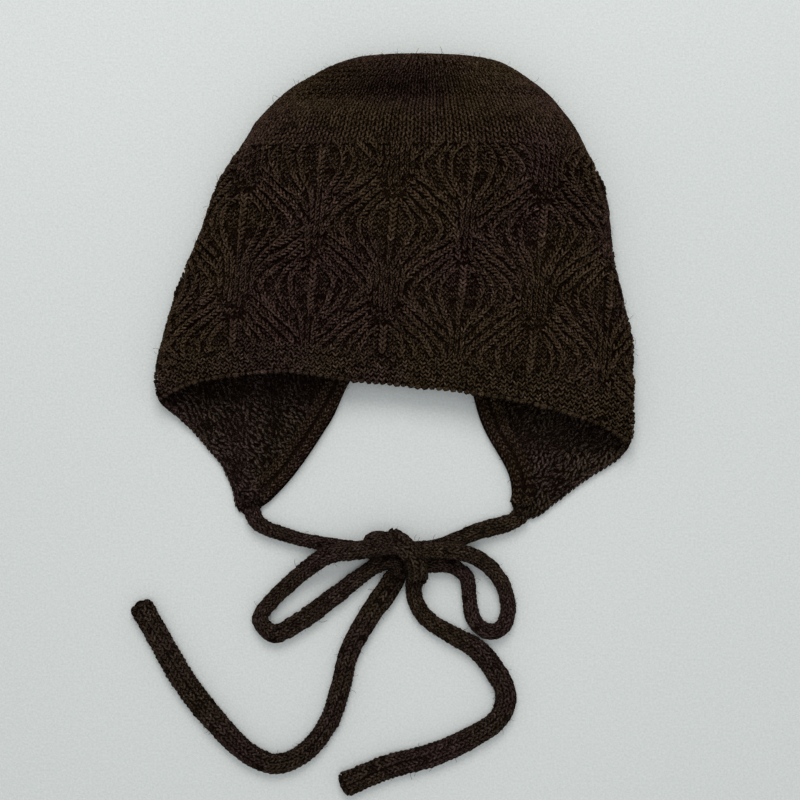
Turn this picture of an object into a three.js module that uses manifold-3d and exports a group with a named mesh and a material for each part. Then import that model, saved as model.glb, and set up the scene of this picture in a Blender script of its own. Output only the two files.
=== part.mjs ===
// A small child's knitted ear-flap hat, lying on its back layer with its two ties in a bow.
// Millimetres. +X is to the right as seen from above, +Y towards the crown, +Z up from the table.
import * as THREE from 'three';
import Module from 'manifold-3d';

const manifold = await Module();
manifold.setup();

// Driving sizes
const WALL = 2.6; // one layer of lace knit
const HEM_WALL = 4.2; // the folded hem, two layers
const HEM_PROUD = 0.7; // how far the hem stands out from the lace above it
const SEAM_GAP = 0.3; // clearance between pieces that are sewn or knitted together
const FOLD_HEIGHT = 7; // height of the outermost line of a side fold
const FOLD_CURL = 8; // how far in from a side fold the underside lifts off the table
const CROWN_LINE = 64; // where the plain crown meets the lace
const BAND_LINE = 0.885; // share of the way from crown line to front edge where the hem starts
const PICOT_COUNT = 36; // points along the front hem
const PICOT_DEPTH = 0.9; // how far a point stands out from its neighbours
const YARN = 0x3a2c23; // dark brown wool

// Mesh densities
const FRONT_COLUMNS = 60;
const BODY_ROWS = 24;
const FLAP_ROWS = 24;
const NAPE_STEPS = 30;
const TIE_SIDES = 8;

// Side folds of the hat, from the crown line down to the corners of the mouth
const LEFT_FOLD = [
  { y: 64, x: -60.5 },
  { y: 44, x: -73 },
  { y: 24, x: -80 },
  { y: 4, x: -88.5 },
  { y: -16, x: -95 },
  { y: -36, x: -99 },
  { y: -46, x: -97.5 },
];
const RIGHT_FOLD = [
  { y: 64, x: 76.5 },
  { y: 44, x: 86 },
  { y: 34, x: 88.5 },
  { y: 14, x: 90.5 },
  { y: -6, x: 95 },
  { y: -21, x: 98.5 },
  { y: -52, x: 99 },
  { y: -64.5, x: 98 },
];

// Sections across the crown from its top edge down: ends, height of the crest, lift of the underside
// and how square the section is
const CROWN = [
  { y: 97.4, left: 0, right: 15, crest: 10, lift: 4.8, fullness: 2 },
  { y: 96.6, left: -12, right: 31, crest: 13.5, lift: 3.2, fullness: 2 },
  { y: 95.4, left: -18, right: 39, crest: 16.5, lift: 1.8, fullness: 2.1 },
  { y: 94, left: -22.5, right: 44, crest: 18.8, lift: 0.9, fullness: 2.2 },
  { y: 91.5, left: -28.5, right: 49, crest: 21.4, lift: 0.2, fullness: 2.3 },
  { y: 89, left: -33, right: 53, crest: 22.9, lift: 0, fullness: 2.5 },
  { y: 86.5, left: -37.5, right: 56.5, crest: 23.8, lift: 0, fullness: 2.7 },
  { y: 83.5, left: -42.5, right: 60.5, crest: 24.3, lift: 0, fullness: 3 },
  { y: 79, left: -48, right: 65.5, crest: 24.8, lift: 0, fullness: 3.3 },
  { y: 74, left: -53, right: 69.5, crest: 25, lift: 0, fullness: 3.6 },
  { y: 69, left: -57.5, right: 73.5, crest: 25, lift: 0, fullness: 3.8 },
  { y: 64, left: -60.5, right: 76.5, crest: 24.6, lift: 0, fullness: 4 },
];
const CROWN_TOP = { x: 7.3, y: 97.8, z: FOLD_HEIGHT };
const CROWN_INNER_FROM = 4; // first crown section that still has room for the hollow

// The soft dent behind the crest of the crown
const DENT = { x: 2, y: 79.5, depth: 8.5, halfWidth: 36, halfLength: 6 };

// Sections down the body, from the crown line (0) to the front edge (1)
const BODY = [
  { down: 0, crest: 24.6, sag: 0, fullness: 4 },
  { down: 0.3, crest: 22, sag: 0.04, fullness: 4.4 },
  { down: 0.6, crest: 19, sag: 0.12, fullness: 4.8 },
  { down: 0.85, crest: 17, sag: 0.26, fullness: 5 },
  { down: 1, crest: 16, sag: 0.4, fullness: 5 },
];
const SAG = { across: 0.03, halfWidth: 0.32 };

// The front edge, from the left fold (-1) to the right fold (1)
const FRONT_EDGE = [
  { across: -1, y: -46 },
  { across: -0.86, y: -39.5 },
  { across: -0.66, y: -36 },
  { across: -0.45, y: -34.5 },
  { across: -0.2, y: -38 },
  { across: 0.05, y: -40.5 },
  { across: 0.33, y: -43.5 },
  { across: 0.62, y: -49 },
  { across: 0.86, y: -56.5 },
  { across: 1, y: -64.5 },
];

// The lower edge of the back layer between the flaps' roots, with the arch at the nape
const BACK_EDGE = [
  { across: -1, y: CROWN_LINE + BAND_LINE * (-46 - CROWN_LINE) },
  { across: -0.16, y: -31.5 },
  { across: -0.1, y: -23.5 },
  { across: -0.03, y: -16.5 },
  { across: 0.085, y: -13.5 },
  { across: 0.19, y: -16.5 },
  { across: 0.25, y: -24 },
  { across: 0.28, y: -33 },
  { across: 1, y: CROWN_LINE + BAND_LINE * (-64.5 - CROWN_LINE) },
];
// Places across the back layer: the right fold's curl, the nape and the left fold's curl
const BACK_ACROSS = [
  1, 0.98, 0.935, 0.85, 0.6, 0.28, 0.25, 0.19, 0.085, -0.03, -0.1, -0.16, -0.6, -0.85, -0.935, -0.98,
];

// Ear flaps from the root to the tip: the outer edge and the edge on the nape's side
const LEFT_FLAP = [
  { outerX: -98.5, outerY: -34, innerX: -16.5, innerY: -32.5 },
  { outerX: -98.5, outerY: -45.5, innerX: -21.5, innerY: -43.5 },
  { outerX: -91, outerY: -52.5, innerX: -25.5, innerY: -52.5 },
  { outerX: -84, outerY: -59, innerX: -29.5, innerY: -59 },
  { outerX: -78, outerY: -66, innerX: -34, innerY: -66 },
  { outerX: -72.5, outerY: -72.5, innerX: -38.5, innerY: -72.5 },
  { outerX: -69, outerY: -79.5, innerX: -43.5, innerY: -79 },
  { outerX: -67, outerY: -85, innerX: -48, innerY: -84 },
  { outerX: -66, outerY: -90, innerX: -52, innerY: -88 },
  { outerX: -63, outerY: -95, innerX: -55.5, innerY: -91 },
];
const RIGHT_FLAP = [
  { outerX: 98.5, outerY: -51, innerX: 30.5, innerY: -35 },
  { outerX: 99, outerY: -59, innerX: 33, innerY: -44 },
  { outerX: 98, outerY: -65, innerX: 35.5, innerY: -53 },
  { outerX: 94, outerY: -70, innerX: 38.5, innerY: -60 },
  { outerX: 88, outerY: -74, innerX: 42.5, innerY: -67 },
  { outerX: 82, outerY: -77.5, innerX: 45.5, innerY: -72 },
  { outerX: 75.5, outerY: -82, innerX: 48, innerY: -77.5 },
  { outerX: 69, outerY: -87, innerX: 49, innerY: -82.5 },
  { outerX: 64, outerY: -91, innerX: 49, innerY: -86.5 },
  { outerX: 57, outerY: -97.8, innerX: 47.5, innerY: -90.3 },
];
const FLAP_CURL = { height: 3.9, reach: 9, rows: 0.35 }; // lift of the outer edge beside the fold
const FLAP_ROLL = 1.2; // rounded roll along the outer edge
const FLAP_PICOT = 0.8;

// The free edge of flaps and nape that the nape hem follows, from the left tip to the right tip
const NAPE_EDGE = [
  [-54, -88.5],
  [-43.5, -78],
  [-34, -65],
  [-25.5, -51.5],
  [-19, -39],
  [-12.5, -28],
  [-4, -18.5],
  [8.5, -13.5],
  [21, -18.5],
  [28, -29],
  [33.5, -44.5],
  [39, -60],
  [46, -72],
  [49.2, -82],
  [48.2, -88.5],
];
// Cross-section of the nape hem: distance in from the edge and height, two rolls with a groove between
const NAPE_SECTION = [
  { inward: 0.1, z: 4.1 },
  { inward: 1.4, z: 5.4 },
  { inward: 3.4, z: 5.4 },
  { inward: 5, z: 4.1 },
  { inward: 6.4, z: 5.2 },
  { inward: 8.2, z: 5.2 },
  { inward: 9.6, z: 4 },
  { inward: 9.2, z: 2.9 },
  { inward: 0.5, z: 2.9 },
];

// Lace repeat: columns of diamonds standing on stems, every second column dropped by half a repeat
const LACE = { pitch: 30.8, middle: -3.4, lean: 0.085, tilt: 0.04, node: 39.5, repeat: 51.5, height: 1.5 };
// Half width of the diamond's outline below its upper point
const DIAMOND = [
  { below: 0, half: 5 },
  { below: 9, half: 15 },
  { below: 18, half: 22 },
  { below: 27, half: 15 },
  { below: 36, half: 7 },
  { below: 51.5, half: 6 },
];

// Routes of the ties, from the flap tips through the bow to the free ends: x, y and, where the cord is
// not on the table, how high it is lifted
const LEFT_LEAD = [
  [-59, -93.6],
  [-57.5, -96.2],
  [-53.6, -99.4],
  [-47.6, -101.5],
  [-39.6, -103.9],
  [-27, -106.5],
  [-17, -107.9],
  [-8.5, -108.5],
];
const LEFT_LOOP = [
  [-3.5, -106.4, 7.2],
  [-14.5, -108, 6.9],
  [-26.6, -109.6, 6.8],
  [-32.9, -113.4, 4.3],
  [-38.4, -117.7, 1.8],
  [-44.5, -123.1, 0.5],
  [-50.6, -129, 0.1],
  [-56.2, -137.2],
  [-50.6, -143.4],
  [-39.6, -138.4],
  [-26.4, -128.8],
  [-12.9, -118.4, 0.2],
  [-6.8, -114.6, 1],
];
const LEFT_TAIL = [
  [0.4, -119.6],
  [-2.9, -125.2],
  [-11, -136.8],
  [-19, -151.5],
  [-22.6, -166],
  [-27.5, -180.5],
  [-37.1, -192.7],
  [-49.2, -198],
  [-61, -193.7],
  [-75.6, -179.3],
  [-88.1, -163.3],
  [-97.4, -147.2],
  [-107.2, -130],
];
const RIGHT_LEAD = [
  [51.8, -94.3],
  [49.2, -96.6],
  [44.3, -98.2],
  [36, -100.4],
  [27.5, -103.6],
  [19, -106.6],
  [13, -107.8],
];
const RIGHT_LOOP = [
  [11.5, -108.4, 7.2],
  [19, -108, 6.9],
  [27, -108.7, 6.8],
  [35.6, -112.4, 2.2],
  [41.9, -117.9, 0.6],
  [45.8, -124.2, 0.2],
  [47.5, -133.5, 0.1],
  [45, -140.8],
  [39.5, -142.6],
  [33.6, -138.3],
  [31.2, -128.5],
  [30.3, -120.4],
  [24.2, -115.4],
  [14, -115],
];
const RIGHT_TAIL = [
  [8.2, -121.6],
  [8.3, -128.2],
  [12.8, -136.5],
  [22.4, -143.1],
  [34.5, -150.1],
  [42.5, -159.8],
  [46.6, -169.8],
  [43.2, -179.4],
  [32.4, -186.8],
  [15.7, -194.3],
  [-2, -199],
  [-23, -207.6],
];

// Each stretch of cord: its route, its width and height as it lies, and how many steps its bends need
const TIES = [
  { name: 'left_tie_lead', route: LEFT_LEAD, width: 6.2, height: 6, steps: 7 },
  { name: 'left_tie_loop', route: LEFT_LOOP, width: 6.8, height: 6, steps: 21 },
  { name: 'left_tie_tail', route: LEFT_TAIL, width: 8, height: 5.6, steps: 14 },
  { name: 'right_tie_lead', route: RIGHT_LEAD, width: 6.2, height: 6, steps: 6 },
  { name: 'right_tie_loop', route: RIGHT_LOOP, width: 6.8, height: 6, steps: 20 },
  { name: 'right_tie_tail', route: RIGHT_TAIL, width: 8, height: 5.6, steps: 14 },
];

// The knot: a core with the wrapping strand over it and the first crossing beside it
const KNOT_CORE = { x: 3, y: -111, z: 6.6, rx: 10, ry: 10, rz: 6.4 };
const KNOT_WRAP = {
  route: [
    [-1, -101.4, 1],
    [1.1, -102.6, 5],
    [4.3, -105.9, 8],
    [8.5, -110.4, 8.6],
    [10, -116, 6.4],
    [9.2, -120.8, 1.4],
  ],
  width: 8.8,
  height: 8,
  steps: 10,
};
const KNOT_CROSSING = {
  route: [
    [-9.5, -105.5, 3],
    [-7.5, -102.6, 6],
    [-2.5, -102.4, 7.6],
    [2, -105.5, 6.6],
  ],
  width: 6.4,
  height: 6,
  steps: 6,
};

// Smooth curve through a table: column `from` gives the place, column `to` the value
function curve(rows, from, to) {
  const last = rows.length - 1;
  const sign = Math.sign(rows[last][from] - rows[0][from]);
  const slope = (i) => {
    const a = rows[Math.max(i - 1, 0)];
    const b = rows[Math.min(i + 1, last)];
    return (b[to] - a[to]) / (b[from] - a[from]);
  };
  return (place) => {
    let i = 0;
    while (i < last - 1 && sign * (place - rows[i + 1][from]) > 0) i += 1;
    const a = rows[i];
    const b = rows[i + 1];
    const span = b[from] - a[from];
    const t = THREE.MathUtils.clamp((place - a[from]) / span, 0, 1);
    const bend = t * t * (3 - 2 * t);
    const into = t * (1 - t) * (1 - t) * span * slope(i);
    const out = t * t * (1 - t) * span * slope(i + 1);
    return a[to] + bend * (b[to] - a[to]) + into - out;
  };
}

// Straight lines through a table
function polyline(rows, from, to) {
  return (place) => {
    let i = 0;
    while (i < rows.length - 2 && place > rows[i + 1][from]) i += 1;
    return THREE.MathUtils.mapLinear(place, rows[i][from], rows[i + 1][from], rows[i][to], rows[i + 1][to]);
  };
}

const leftFold = curve(LEFT_FOLD, 'y', 'x');
const rightFold = curve(RIGHT_FOLD, 'y', 'x');
const frontEdge = curve(FRONT_EDGE, 'across', 'y');
const backEdge = polyline(BACK_EDGE, 'across', 'y');
const diamondHalf = curve(DIAMOND, 'below', 'half');
const bodyCrest = curve(BODY, 'down', 'crest');
const bodySag = curve(BODY, 'down', 'sag');
const bodyFullness = curve(BODY, 'down', 'fullness');
const crownColumn = (to) => curve(CROWN, 'y', to);
const crown = {
  left: crownColumn('left'),
  right: crownColumn('right'),
  crest: crownColumn('crest'),
  lift: crownColumn('lift'),
  fullness: crownColumn('fullness'),
};

const bell = (distance, halfWidth) => Math.exp(-((distance / halfWidth) ** 2));

// A section of the bag: in the crown it lies at one y, in the body it is a share of the way to the edge
function crownSection(y) {
  return {
    left: crown.left(y),
    right: crown.right(y),
    crest: crown.crest(y),
    lift: crown.lift(y),
    fullness: crown.fullness(y),
    sag: 0,
    yOf: () => y,
  };
}

function bodySection(down) {
  const foldY = (across) => CROWN_LINE + down * (frontEdge(across) - CROWN_LINE);
  const share = down / BAND_LINE;
  return {
    left: leftFold(foldY(-1)),
    right: rightFold(foldY(1)),
    crest: bodyCrest(down),
    lift: 0,
    fullness: bodyFullness(down),
    sag: bodySag(down),
    yOf: (across, front) => (front ? foldY(across) : CROWN_LINE + share * (backEdge(across) - CROWN_LINE)),
  };
}

// A point of the bag's outer surface, on the front or the back layer
function bagPoint(section, across, front) {
  const { left, right, crest, lift, fullness, sag } = section;
  const x = THREE.MathUtils.lerp(left, right, (across + 1) / 2);
  const y = section.yOf(across, front);
  if (!front) {
    const flat = Math.max(1 - (2 * FOLD_CURL) / (right - left), 0.2);
    const curl = Math.max(0, (Math.abs(across) - flat) / (1 - flat));
    const rise = 1 - Math.sqrt(Math.max(0, 1 - curl * curl));
    return new THREE.Vector3(x, y, lift + (FOLD_HEIGHT - lift) * rise);
  }
  const dome = Math.sqrt(Math.max(0, 1 - Math.abs(across) ** fullness));
  const hang = 1 - sag * bell(across - SAG.across, SAG.halfWidth);
  const dent = DENT.depth * bell(x - DENT.x, DENT.halfWidth) * bell(y - DENT.y, DENT.halfLength);
  return new THREE.Vector3(x, y, FOLD_HEIGHT + ((crest - FOLD_HEIGHT) * hang - dent) * dome);
}

// Outward normal of the bag between two neighbouring sections
function bagNormal(above, below, across, front) {
  const step = 0.004;
  const low = Math.max(across - step, -1);
  const high = Math.min(across + step, 1);
  const middle = (a, f) => bagPoint(above, a, f).add(bagPoint(below, a, f)).multiplyScalar(0.5);
  const sideways = middle(high, front).sub(middle(low, front));
  const downwards = bagPoint(below, across, front).sub(bagPoint(above, across, front));
  const normal = downwards.cross(sideways).normalize();
  return front ? normal : normal.negate();
}

// Relief of the lace: outlines of the diamonds and the ribs along their middles
function laceRelief(x, y) {
  let relief = 0;
  for (let k = -3; k <= 4; k += 1) {
    const offset = x - (LACE.middle + LACE.pitch * k + LACE.lean * y);
    const drop = k % 2 === 0 ? 0 : LACE.repeat / 2;
    const below = THREE.MathUtils.euclideanModulo(LACE.node - drop - y - LACE.tilt * x, LACE.repeat);
    const outline = bell(Math.abs(offset) - diamondHalf(below), 2.4);
    const rib = 0.7 * bell(offset, 2.2);
    relief = Math.max(relief, outline, rib);
  }
  return LACE.height * (relief - 0.35);
}

// Places across the front and back layers, closer together near the folds
const spread = (u) => 1.25 * u - 0.25 * u ** 5;
const LOOP = [];
for (let i = 0; i < FRONT_COLUMNS; i += 1) {
  LOOP.push({ across: spread(-1 + (2 * i) / FRONT_COLUMNS), front: true });
}
for (const across of BACK_ACROSS) LOOP.push({ across, front: false });

// One ring of the bag: points on its outer and inner surfaces; the rings at the crown line stay level
function bagRing(section, above, below, relief, level) {
  return LOOP.map(({ across, front }) => {
    const point = bagPoint(section, across, front);
    const normal = bagNormal(above, below, across, front);
    if (Math.abs(across) === 1) normal.add(bagNormal(above, below, across, !front)).normalize();
    if (level) normal.setY(0).normalize();
    const inner = point.clone().addScaledVector(normal, -WALL);
    const fade = 1 - bell(1 - Math.abs(across), 0.12);
    const raise = relief && front ? relief * fade * laceRelief(point.x, point.y) : 0;
    return { outer: point.addScaledVector(normal, raise), inner, raise };
  });
}

// Collects points and triangles of one closed solid
class Solid {
  constructor() {
    this.positions = [];
    this.index = [];
  }

  add(point) {
    this.positions.push(point.x, point.y, point.z);
    return this.positions.length / 3 - 1;
  }

  face(a, b, c) {
    this.index.push(a, b, c);
  }

  quad(a, b, c, d) {
    this.face(a, b, c);
    this.face(a, c, d);
  }

  // Strip of quads between two rows of points; `closed` joins the last column to the first, and
  // `raised`, where given, splits each quad along its higher diagonal so that slanting ribs stay whole
  strip(rowA, rowB, closed, raised) {
    const count = closed ? rowA.length : rowA.length - 1;
    for (let i = 0; i < count; i += 1) {
      const next = (i + 1) % rowA.length;
      const corners = [rowA[i], rowB[i], rowB[next], rowA[next]];
      const turn = raised && raised[0][next] + raised[1][i] > raised[0][i] + raised[1][next];
      if (turn) corners.push(corners.shift());
      this.quad(...corners);
    }
  }

  // Joins a closed row of points to one with half as many
  halfStrip(fine, coarse, turned) {
    const put = (a, b, c) => (turned ? this.face(a, c, b) : this.face(a, b, c));
    for (let i = 0; i < coarse.length; i += 1) {
      const next = (i + 1) % coarse.length;
      const middle = fine[2 * i + 1];
      put(fine[2 * i], coarse[i], middle);
      put(middle, coarse[i], coarse[next]);
      put(middle, coarse[next], fine[(2 * i + 2) % fine.length]);
    }
  }

  fan(centre, row, turned) {
    for (let i = 0; i < row.length; i += 1) {
      const next = (i + 1) % row.length;
      if (turned) this.face(centre, row[next], row[i]);
      else this.face(centre, row[i], row[next]);
    }
  }

  // Flat end of a sweep, given as the section's own outline
  cap(outline, row, turned) {
    const clockwise = THREE.ShapeUtils.isClockWise(outline);
    for (const [a, b, c] of THREE.ShapeUtils.triangulateShape(outline, [])) {
      const same = THREE.ShapeUtils.isClockWise([outline[a], outline[b], outline[c]]) === clockwise;
      if (same === turned) this.face(row[a], row[c], row[b]);
      else this.face(row[a], row[b], row[c]);
    }
  }

  geometry() {
    const geometry = new THREE.BufferGeometry();
    geometry.setAttribute('position', new THREE.Float32BufferAttribute(this.positions, 3));
    geometry.setIndex(this.index);
    geometry.computeVertexNormals();
    return geometry;
  }
}

const halfOf = (row) => row.filter((_, i) => i % 2 === 0);

// Shell between the outer and inner surfaces of the rings; inner rings are every second one
function bagShell(rings, innerRings, top) {
  const solid = new Solid();
  const outer = rings.map((ring) => ring.map((p) => solid.add(p.outer)));
  const inner = innerRings.map((ring) => halfOf(ring).map((p) => solid.add(p.inner)));
  const raised = rings.map((ring) => ring.map((p) => p.raise));
  for (let i = 0; i + 1 < outer.length; i += 1) {
    solid.strip(outer[i], outer[i + 1], true, [raised[i], raised[i + 1]]);
  }
  for (let i = 0; i + 1 < inner.length; i += 1) solid.strip(inner[i + 1], inner[i], true);
  solid.halfStrip(outer.at(-1), inner.at(-1), false);
  if (top) {
    solid.fan(solid.add(top.outer), outer[0], false);
    solid.fan(solid.add(top.inner), inner[0], true);
  } else {
    solid.halfStrip(outer[0], inner[0], true);
  }
  return solid.geometry();
}

function crownGeometry() {
  const lowest = CROWN_LINE + SEAM_GAP / 2;
  const places = CROWN.map((row) => Math.max(row.y, lowest));
  const rings = places.map((y) => (
    bagRing(crownSection(y), crownSection(y + 0.2), crownSection(y - 0.2), 0, y === lowest)));
  const top = new THREE.Vector3(CROWN_TOP.x, CROWN_TOP.y, CROWN_TOP.z);
  const innerTop = top.clone().setY(CROWN_TOP.y - WALL);
  const innerRings = rings.filter((_, i) => i >= CROWN_INNER_FROM && (i - rings.length + 1) % 2 === 0);
  return bagShell(rings, innerRings, { outer: top, inner: innerTop });
}

function bodyGeometry() {
  const first = SEAM_GAP / 2 / (CROWN_LINE - FRONT_EDGE[0].y);
  const rings = [];
  for (let i = 0; i <= BODY_ROWS; i += 1) {
    const down = THREE.MathUtils.lerp(first, BAND_LINE, i / BODY_ROWS);
    const ends = i === 0 || i === BODY_ROWS ? 0.4 : 1;
    rings.push(bagRing(bodySection(down), bodySection(down - 0.004), bodySection(down + 0.004), ends, i === 0));
  }
  return bagShell(rings, rings.filter((_, i) => i % 2 === 0), null);
}

// The folded hem: a band with a rounded lower edge whose points alternate in and out
function hemGeometry() {
  const start = BAND_LINE + SEAM_GAP / 100;
  const profile = [
    { down: start, out: 0.4 - WALL },
    { down: start + 0.02, out: HEM_PROUD - HEM_WALL },
    { down: 0.985, out: HEM_PROUD - HEM_WALL },
    { down: 1, out: HEM_PROUD - HEM_WALL / 2 },
    { down: 0.99, out: 0 },
    { down: 0.97, out: HEM_PROUD },
    { down: start + 0.02, out: HEM_PROUD },
    { down: start, out: 0.2 },
  ];
  const outline = profile.map((p) => new THREE.Vector2(p.down * 100, p.out));
  const solid = new Solid();
  const rows = [];
  for (let i = 0; i <= 2 * PICOT_COUNT; i += 1) {
    const across = spread(-1 + i / PICOT_COUNT);
    const point = i % 2 === 1 ? PICOT_DEPTH / 100 : 0;
    rows.push(profile.map(({ down, out }) => {
      const place = down + (down >= 0.985 ? point : 0);
      const base = bagPoint(bodySection(place), across, true);
      const normal = bagNormal(bodySection(place - 0.004), bodySection(place + 0.004), across, true);
      return solid.add(base.addScaledVector(normal, out));
    }));
  }
  for (let i = 0; i + 1 < rows.length; i += 1) solid.strip(rows[i], rows[i + 1], true);
  solid.cap(outline, rows[0], false);
  solid.cap(outline, rows.at(-1), true);
  return solid.geometry();
}

// An ear flap: a flat wall between its outer edge, with picot points, and the edge on the nape's side
function flapGeometry(table, side) {
  const rows = table.map((row, i) => ({ ...row, along: i / (table.length - 1) }));
  const edge = {};
  for (const key of ['outerX', 'outerY', 'innerX', 'innerY']) edge[key] = curve(rows, 'along', key);
  const columns = [0, 0.05, 0.2, 0.55, 0.85, 1];
  const solid = new Solid();
  const grid = (height) => Array.from({ length: FLAP_ROWS + 1 }, (_, i) => {
    const along = i / FLAP_ROWS;
    const outer = new THREE.Vector2(edge.outerX(along), edge.outerY(along));
    const inner = new THREE.Vector2(edge.innerX(along), edge.innerY(along));
    const outwards = outer.clone().sub(inner).normalize();
    if (i % 2 === 1) outer.addScaledVector(outwards, FLAP_PICOT);
    return columns.map((share) => {
      const place = outer.clone().lerp(inner, share);
      const fromEdge = place.distanceTo(outer);
      const near = Math.max(0, 1 - fromEdge / FLAP_CURL.reach);
      const lift = FLAP_CURL.height * near * near * Math.max(0, 1 - along / FLAP_CURL.rows);
      const roll = share === 0.05 && along > 0.2 ? FLAP_ROLL : 0;
      const thin = share === 0 ? 0.5 : 0;
      return solid.add(new THREE.Vector3(place.x, place.y, lift + (height ? height + roll - thin : thin)));
    });
  });
  const bottom = grid(0);
  const top = grid(WALL);
  const lay = (a, b) => (side > 0 ? solid.strip(b, a, false) : solid.strip(a, b, false));
  for (let i = 0; i < FLAP_ROWS; i += 1) {
    lay(top[i], top[i + 1]);
    lay(bottom[i + 1], bottom[i]);
  }
  const column = (rowsOf, j) => rowsOf.map((row) => row[j]);
  lay(bottom[0], top[0]);
  lay(top.at(-1), bottom.at(-1));
  lay(column(top, 0), column(bottom, 0));
  lay(column(bottom, columns.length - 1), column(top, columns.length - 1));
  return solid.geometry();
}

// The nape hem: its section swept along the free edge, lying on the flaps and the back layer
function napeGeometry() {
  const path = new THREE.CatmullRomCurve3(NAPE_EDGE.map(([x, y]) => new THREE.Vector3(x, y, 0)));
  const solid = new Solid();
  const rows = [];
  for (let i = 0; i <= NAPE_STEPS; i += 1) {
    const place = path.getPointAt(i / NAPE_STEPS);
    const along = path.getTangentAt(i / NAPE_STEPS);
    const inward = new THREE.Vector3(-along.y, along.x, 0);
    rows.push(NAPE_SECTION.map(({ inward: distance, z }) => (
      solid.add(place.clone().addScaledVector(inward, distance).setZ(z)))));
  }
  for (let i = 0; i + 1 < rows.length; i += 1) solid.strip(rows[i], rows[i + 1], true);
  const outline = NAPE_SECTION.map((p) => new THREE.Vector2(p.inward, p.z));
  solid.cap(outline, rows[0], false);
  solid.cap(outline, rows.at(-1), true);
  return solid.geometry();
}

// A cord of flattened round section along a route, `extra` all round for the room it needs
function cordGeometry({ route, width, height, steps }, extra = 0) {
  const points = route.map(([x, y, lift = 0]) => new THREE.Vector3(x, y, lift + height / 2));
  const section = new THREE.Shape();
  for (let i = 0; i < TIE_SIDES; i += 1) {
    const angle = (2 * Math.PI * (i + 0.5)) / TIE_SIDES;
    const upwards = (height / 2 + extra) * Math.cos(angle);
    const sideways = (width / 2 + extra) * Math.sin(angle);
    if (i === 0) section.moveTo(upwards, sideways);
    else section.lineTo(upwards, sideways);
  }
  section.closePath();
  const extrudePath = new THREE.CatmullRomCurve3(points);
  return new THREE.ExtrudeGeometry(section, { steps, extrudePath, bevelEnabled: false });
}

function toManifold(geometry) {
  const position = geometry.getAttribute('position');
  const vertices = [];
  const index = [];
  const known = new Map();
  const source = geometry.index ? Array.from(geometry.index.array) : [...Array(position.count).keys()];
  for (const i of source) {
    const point = [position.getX(i), position.getY(i), position.getZ(i)];
    const key = point.map((value) => value.toFixed(4)).join();
    if (!known.has(key)) {
      known.set(key, known.size);
      vertices.push(...point);
    }
    index.push(known.get(key));
  }
  const triangles = [];
  for (let i = 0; i < index.length; i += 3) {
    const [a, b, c] = index.slice(i, i + 3);
    if (a !== b && b !== c && c !== a) triangles.push(a, b, c);
  }
  const vertProperties = new Float32Array(vertices);
  const triVerts = new Uint32Array(triangles);
  return new manifold.Manifold(new manifold.Mesh({ numProp: 3, vertProperties, triVerts }));
}

function fromManifold(solid) {
  const mesh = solid.getMesh();
  const geometry = new THREE.BufferGeometry();
  geometry.setAttribute('position', new THREE.Float32BufferAttribute(mesh.vertProperties, 3));
  geometry.setIndex(Array.from(mesh.triVerts));
  geometry.computeVertexNormals();
  return geometry;
}

// The knot, cut clear of every stretch of cord that enters it
function knotGeometry(cords) {
  const core = new THREE.SphereGeometry(1, 12, 8);
  core.scale(KNOT_CORE.rx, KNOT_CORE.ry, KNOT_CORE.rz);
  core.translate(KNOT_CORE.x, KNOT_CORE.y, KNOT_CORE.z);
  let solid = toManifold(core);
  solid = solid.add(toManifold(cordGeometry(KNOT_WRAP)));
  solid = solid.add(toManifold(cordGeometry(KNOT_CROSSING)));
  for (const cord of cords) solid = solid.subtract(toManifold(cordGeometry(cord, SEAM_GAP)));
  return fromManifold(solid);
}

const hat = new THREE.Group();

function addPiece(name, geometry) {
  const material = new THREE.MeshStandardMaterial({ color: YARN, roughness: 0.95, metalness: 0 });
  const mesh = new THREE.Mesh(geometry, material);
  mesh.name = name;
  hat.add(mesh);
}

addPiece('crown', crownGeometry());
addPiece('lace_body', bodyGeometry());
addPiece('front_hem_band', hemGeometry());
addPiece('left_ear_flap', flapGeometry(LEFT_FLAP, -1));
addPiece('right_ear_flap', flapGeometry(RIGHT_FLAP, 1));
addPiece('nape_hem', napeGeometry());
for (const cord of TIES) addPiece(cord.name, cordGeometry(cord));
addPiece('bow_knot', knotGeometry(TIES));

export default hat;
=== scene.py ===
import math

import bmesh
import bpy
import numpy as np
from mathutils import Matrix, Vector


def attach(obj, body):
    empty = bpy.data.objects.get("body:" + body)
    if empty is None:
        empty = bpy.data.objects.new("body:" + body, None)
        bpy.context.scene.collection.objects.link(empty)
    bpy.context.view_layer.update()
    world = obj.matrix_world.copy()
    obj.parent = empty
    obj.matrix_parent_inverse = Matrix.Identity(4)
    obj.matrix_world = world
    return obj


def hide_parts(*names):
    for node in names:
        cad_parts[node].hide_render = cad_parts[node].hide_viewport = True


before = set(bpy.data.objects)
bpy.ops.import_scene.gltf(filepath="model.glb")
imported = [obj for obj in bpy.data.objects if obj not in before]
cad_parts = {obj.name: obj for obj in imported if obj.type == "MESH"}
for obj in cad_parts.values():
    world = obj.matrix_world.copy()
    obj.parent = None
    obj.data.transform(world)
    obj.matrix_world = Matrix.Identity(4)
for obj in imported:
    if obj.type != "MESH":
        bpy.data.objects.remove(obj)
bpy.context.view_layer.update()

MM = 0.001
UP = np.array([0, 0, 1.0])
rng = np.random.default_rng(11)

# Shape tables, in millimetres, as in the CAD source
CROWN_LINE = 64.0
BAND_LINE = 0.885
FOLD_HEIGHT = 7.0
FOLD_CURL = 16.0
# y, x
LEFT_FOLD = [(64, -60.5), (44, -73), (24, -80), (4, -88.5), (-16, -95), (-36, -99), (-46, -97.5)]
RIGHT_FOLD = [
    (64, 76.5), (44, 86), (34, 88.5), (14, 90.5), (-6, 95), (-21, 98.5), (-52, 99), (-64.5, 98),
]
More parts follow.
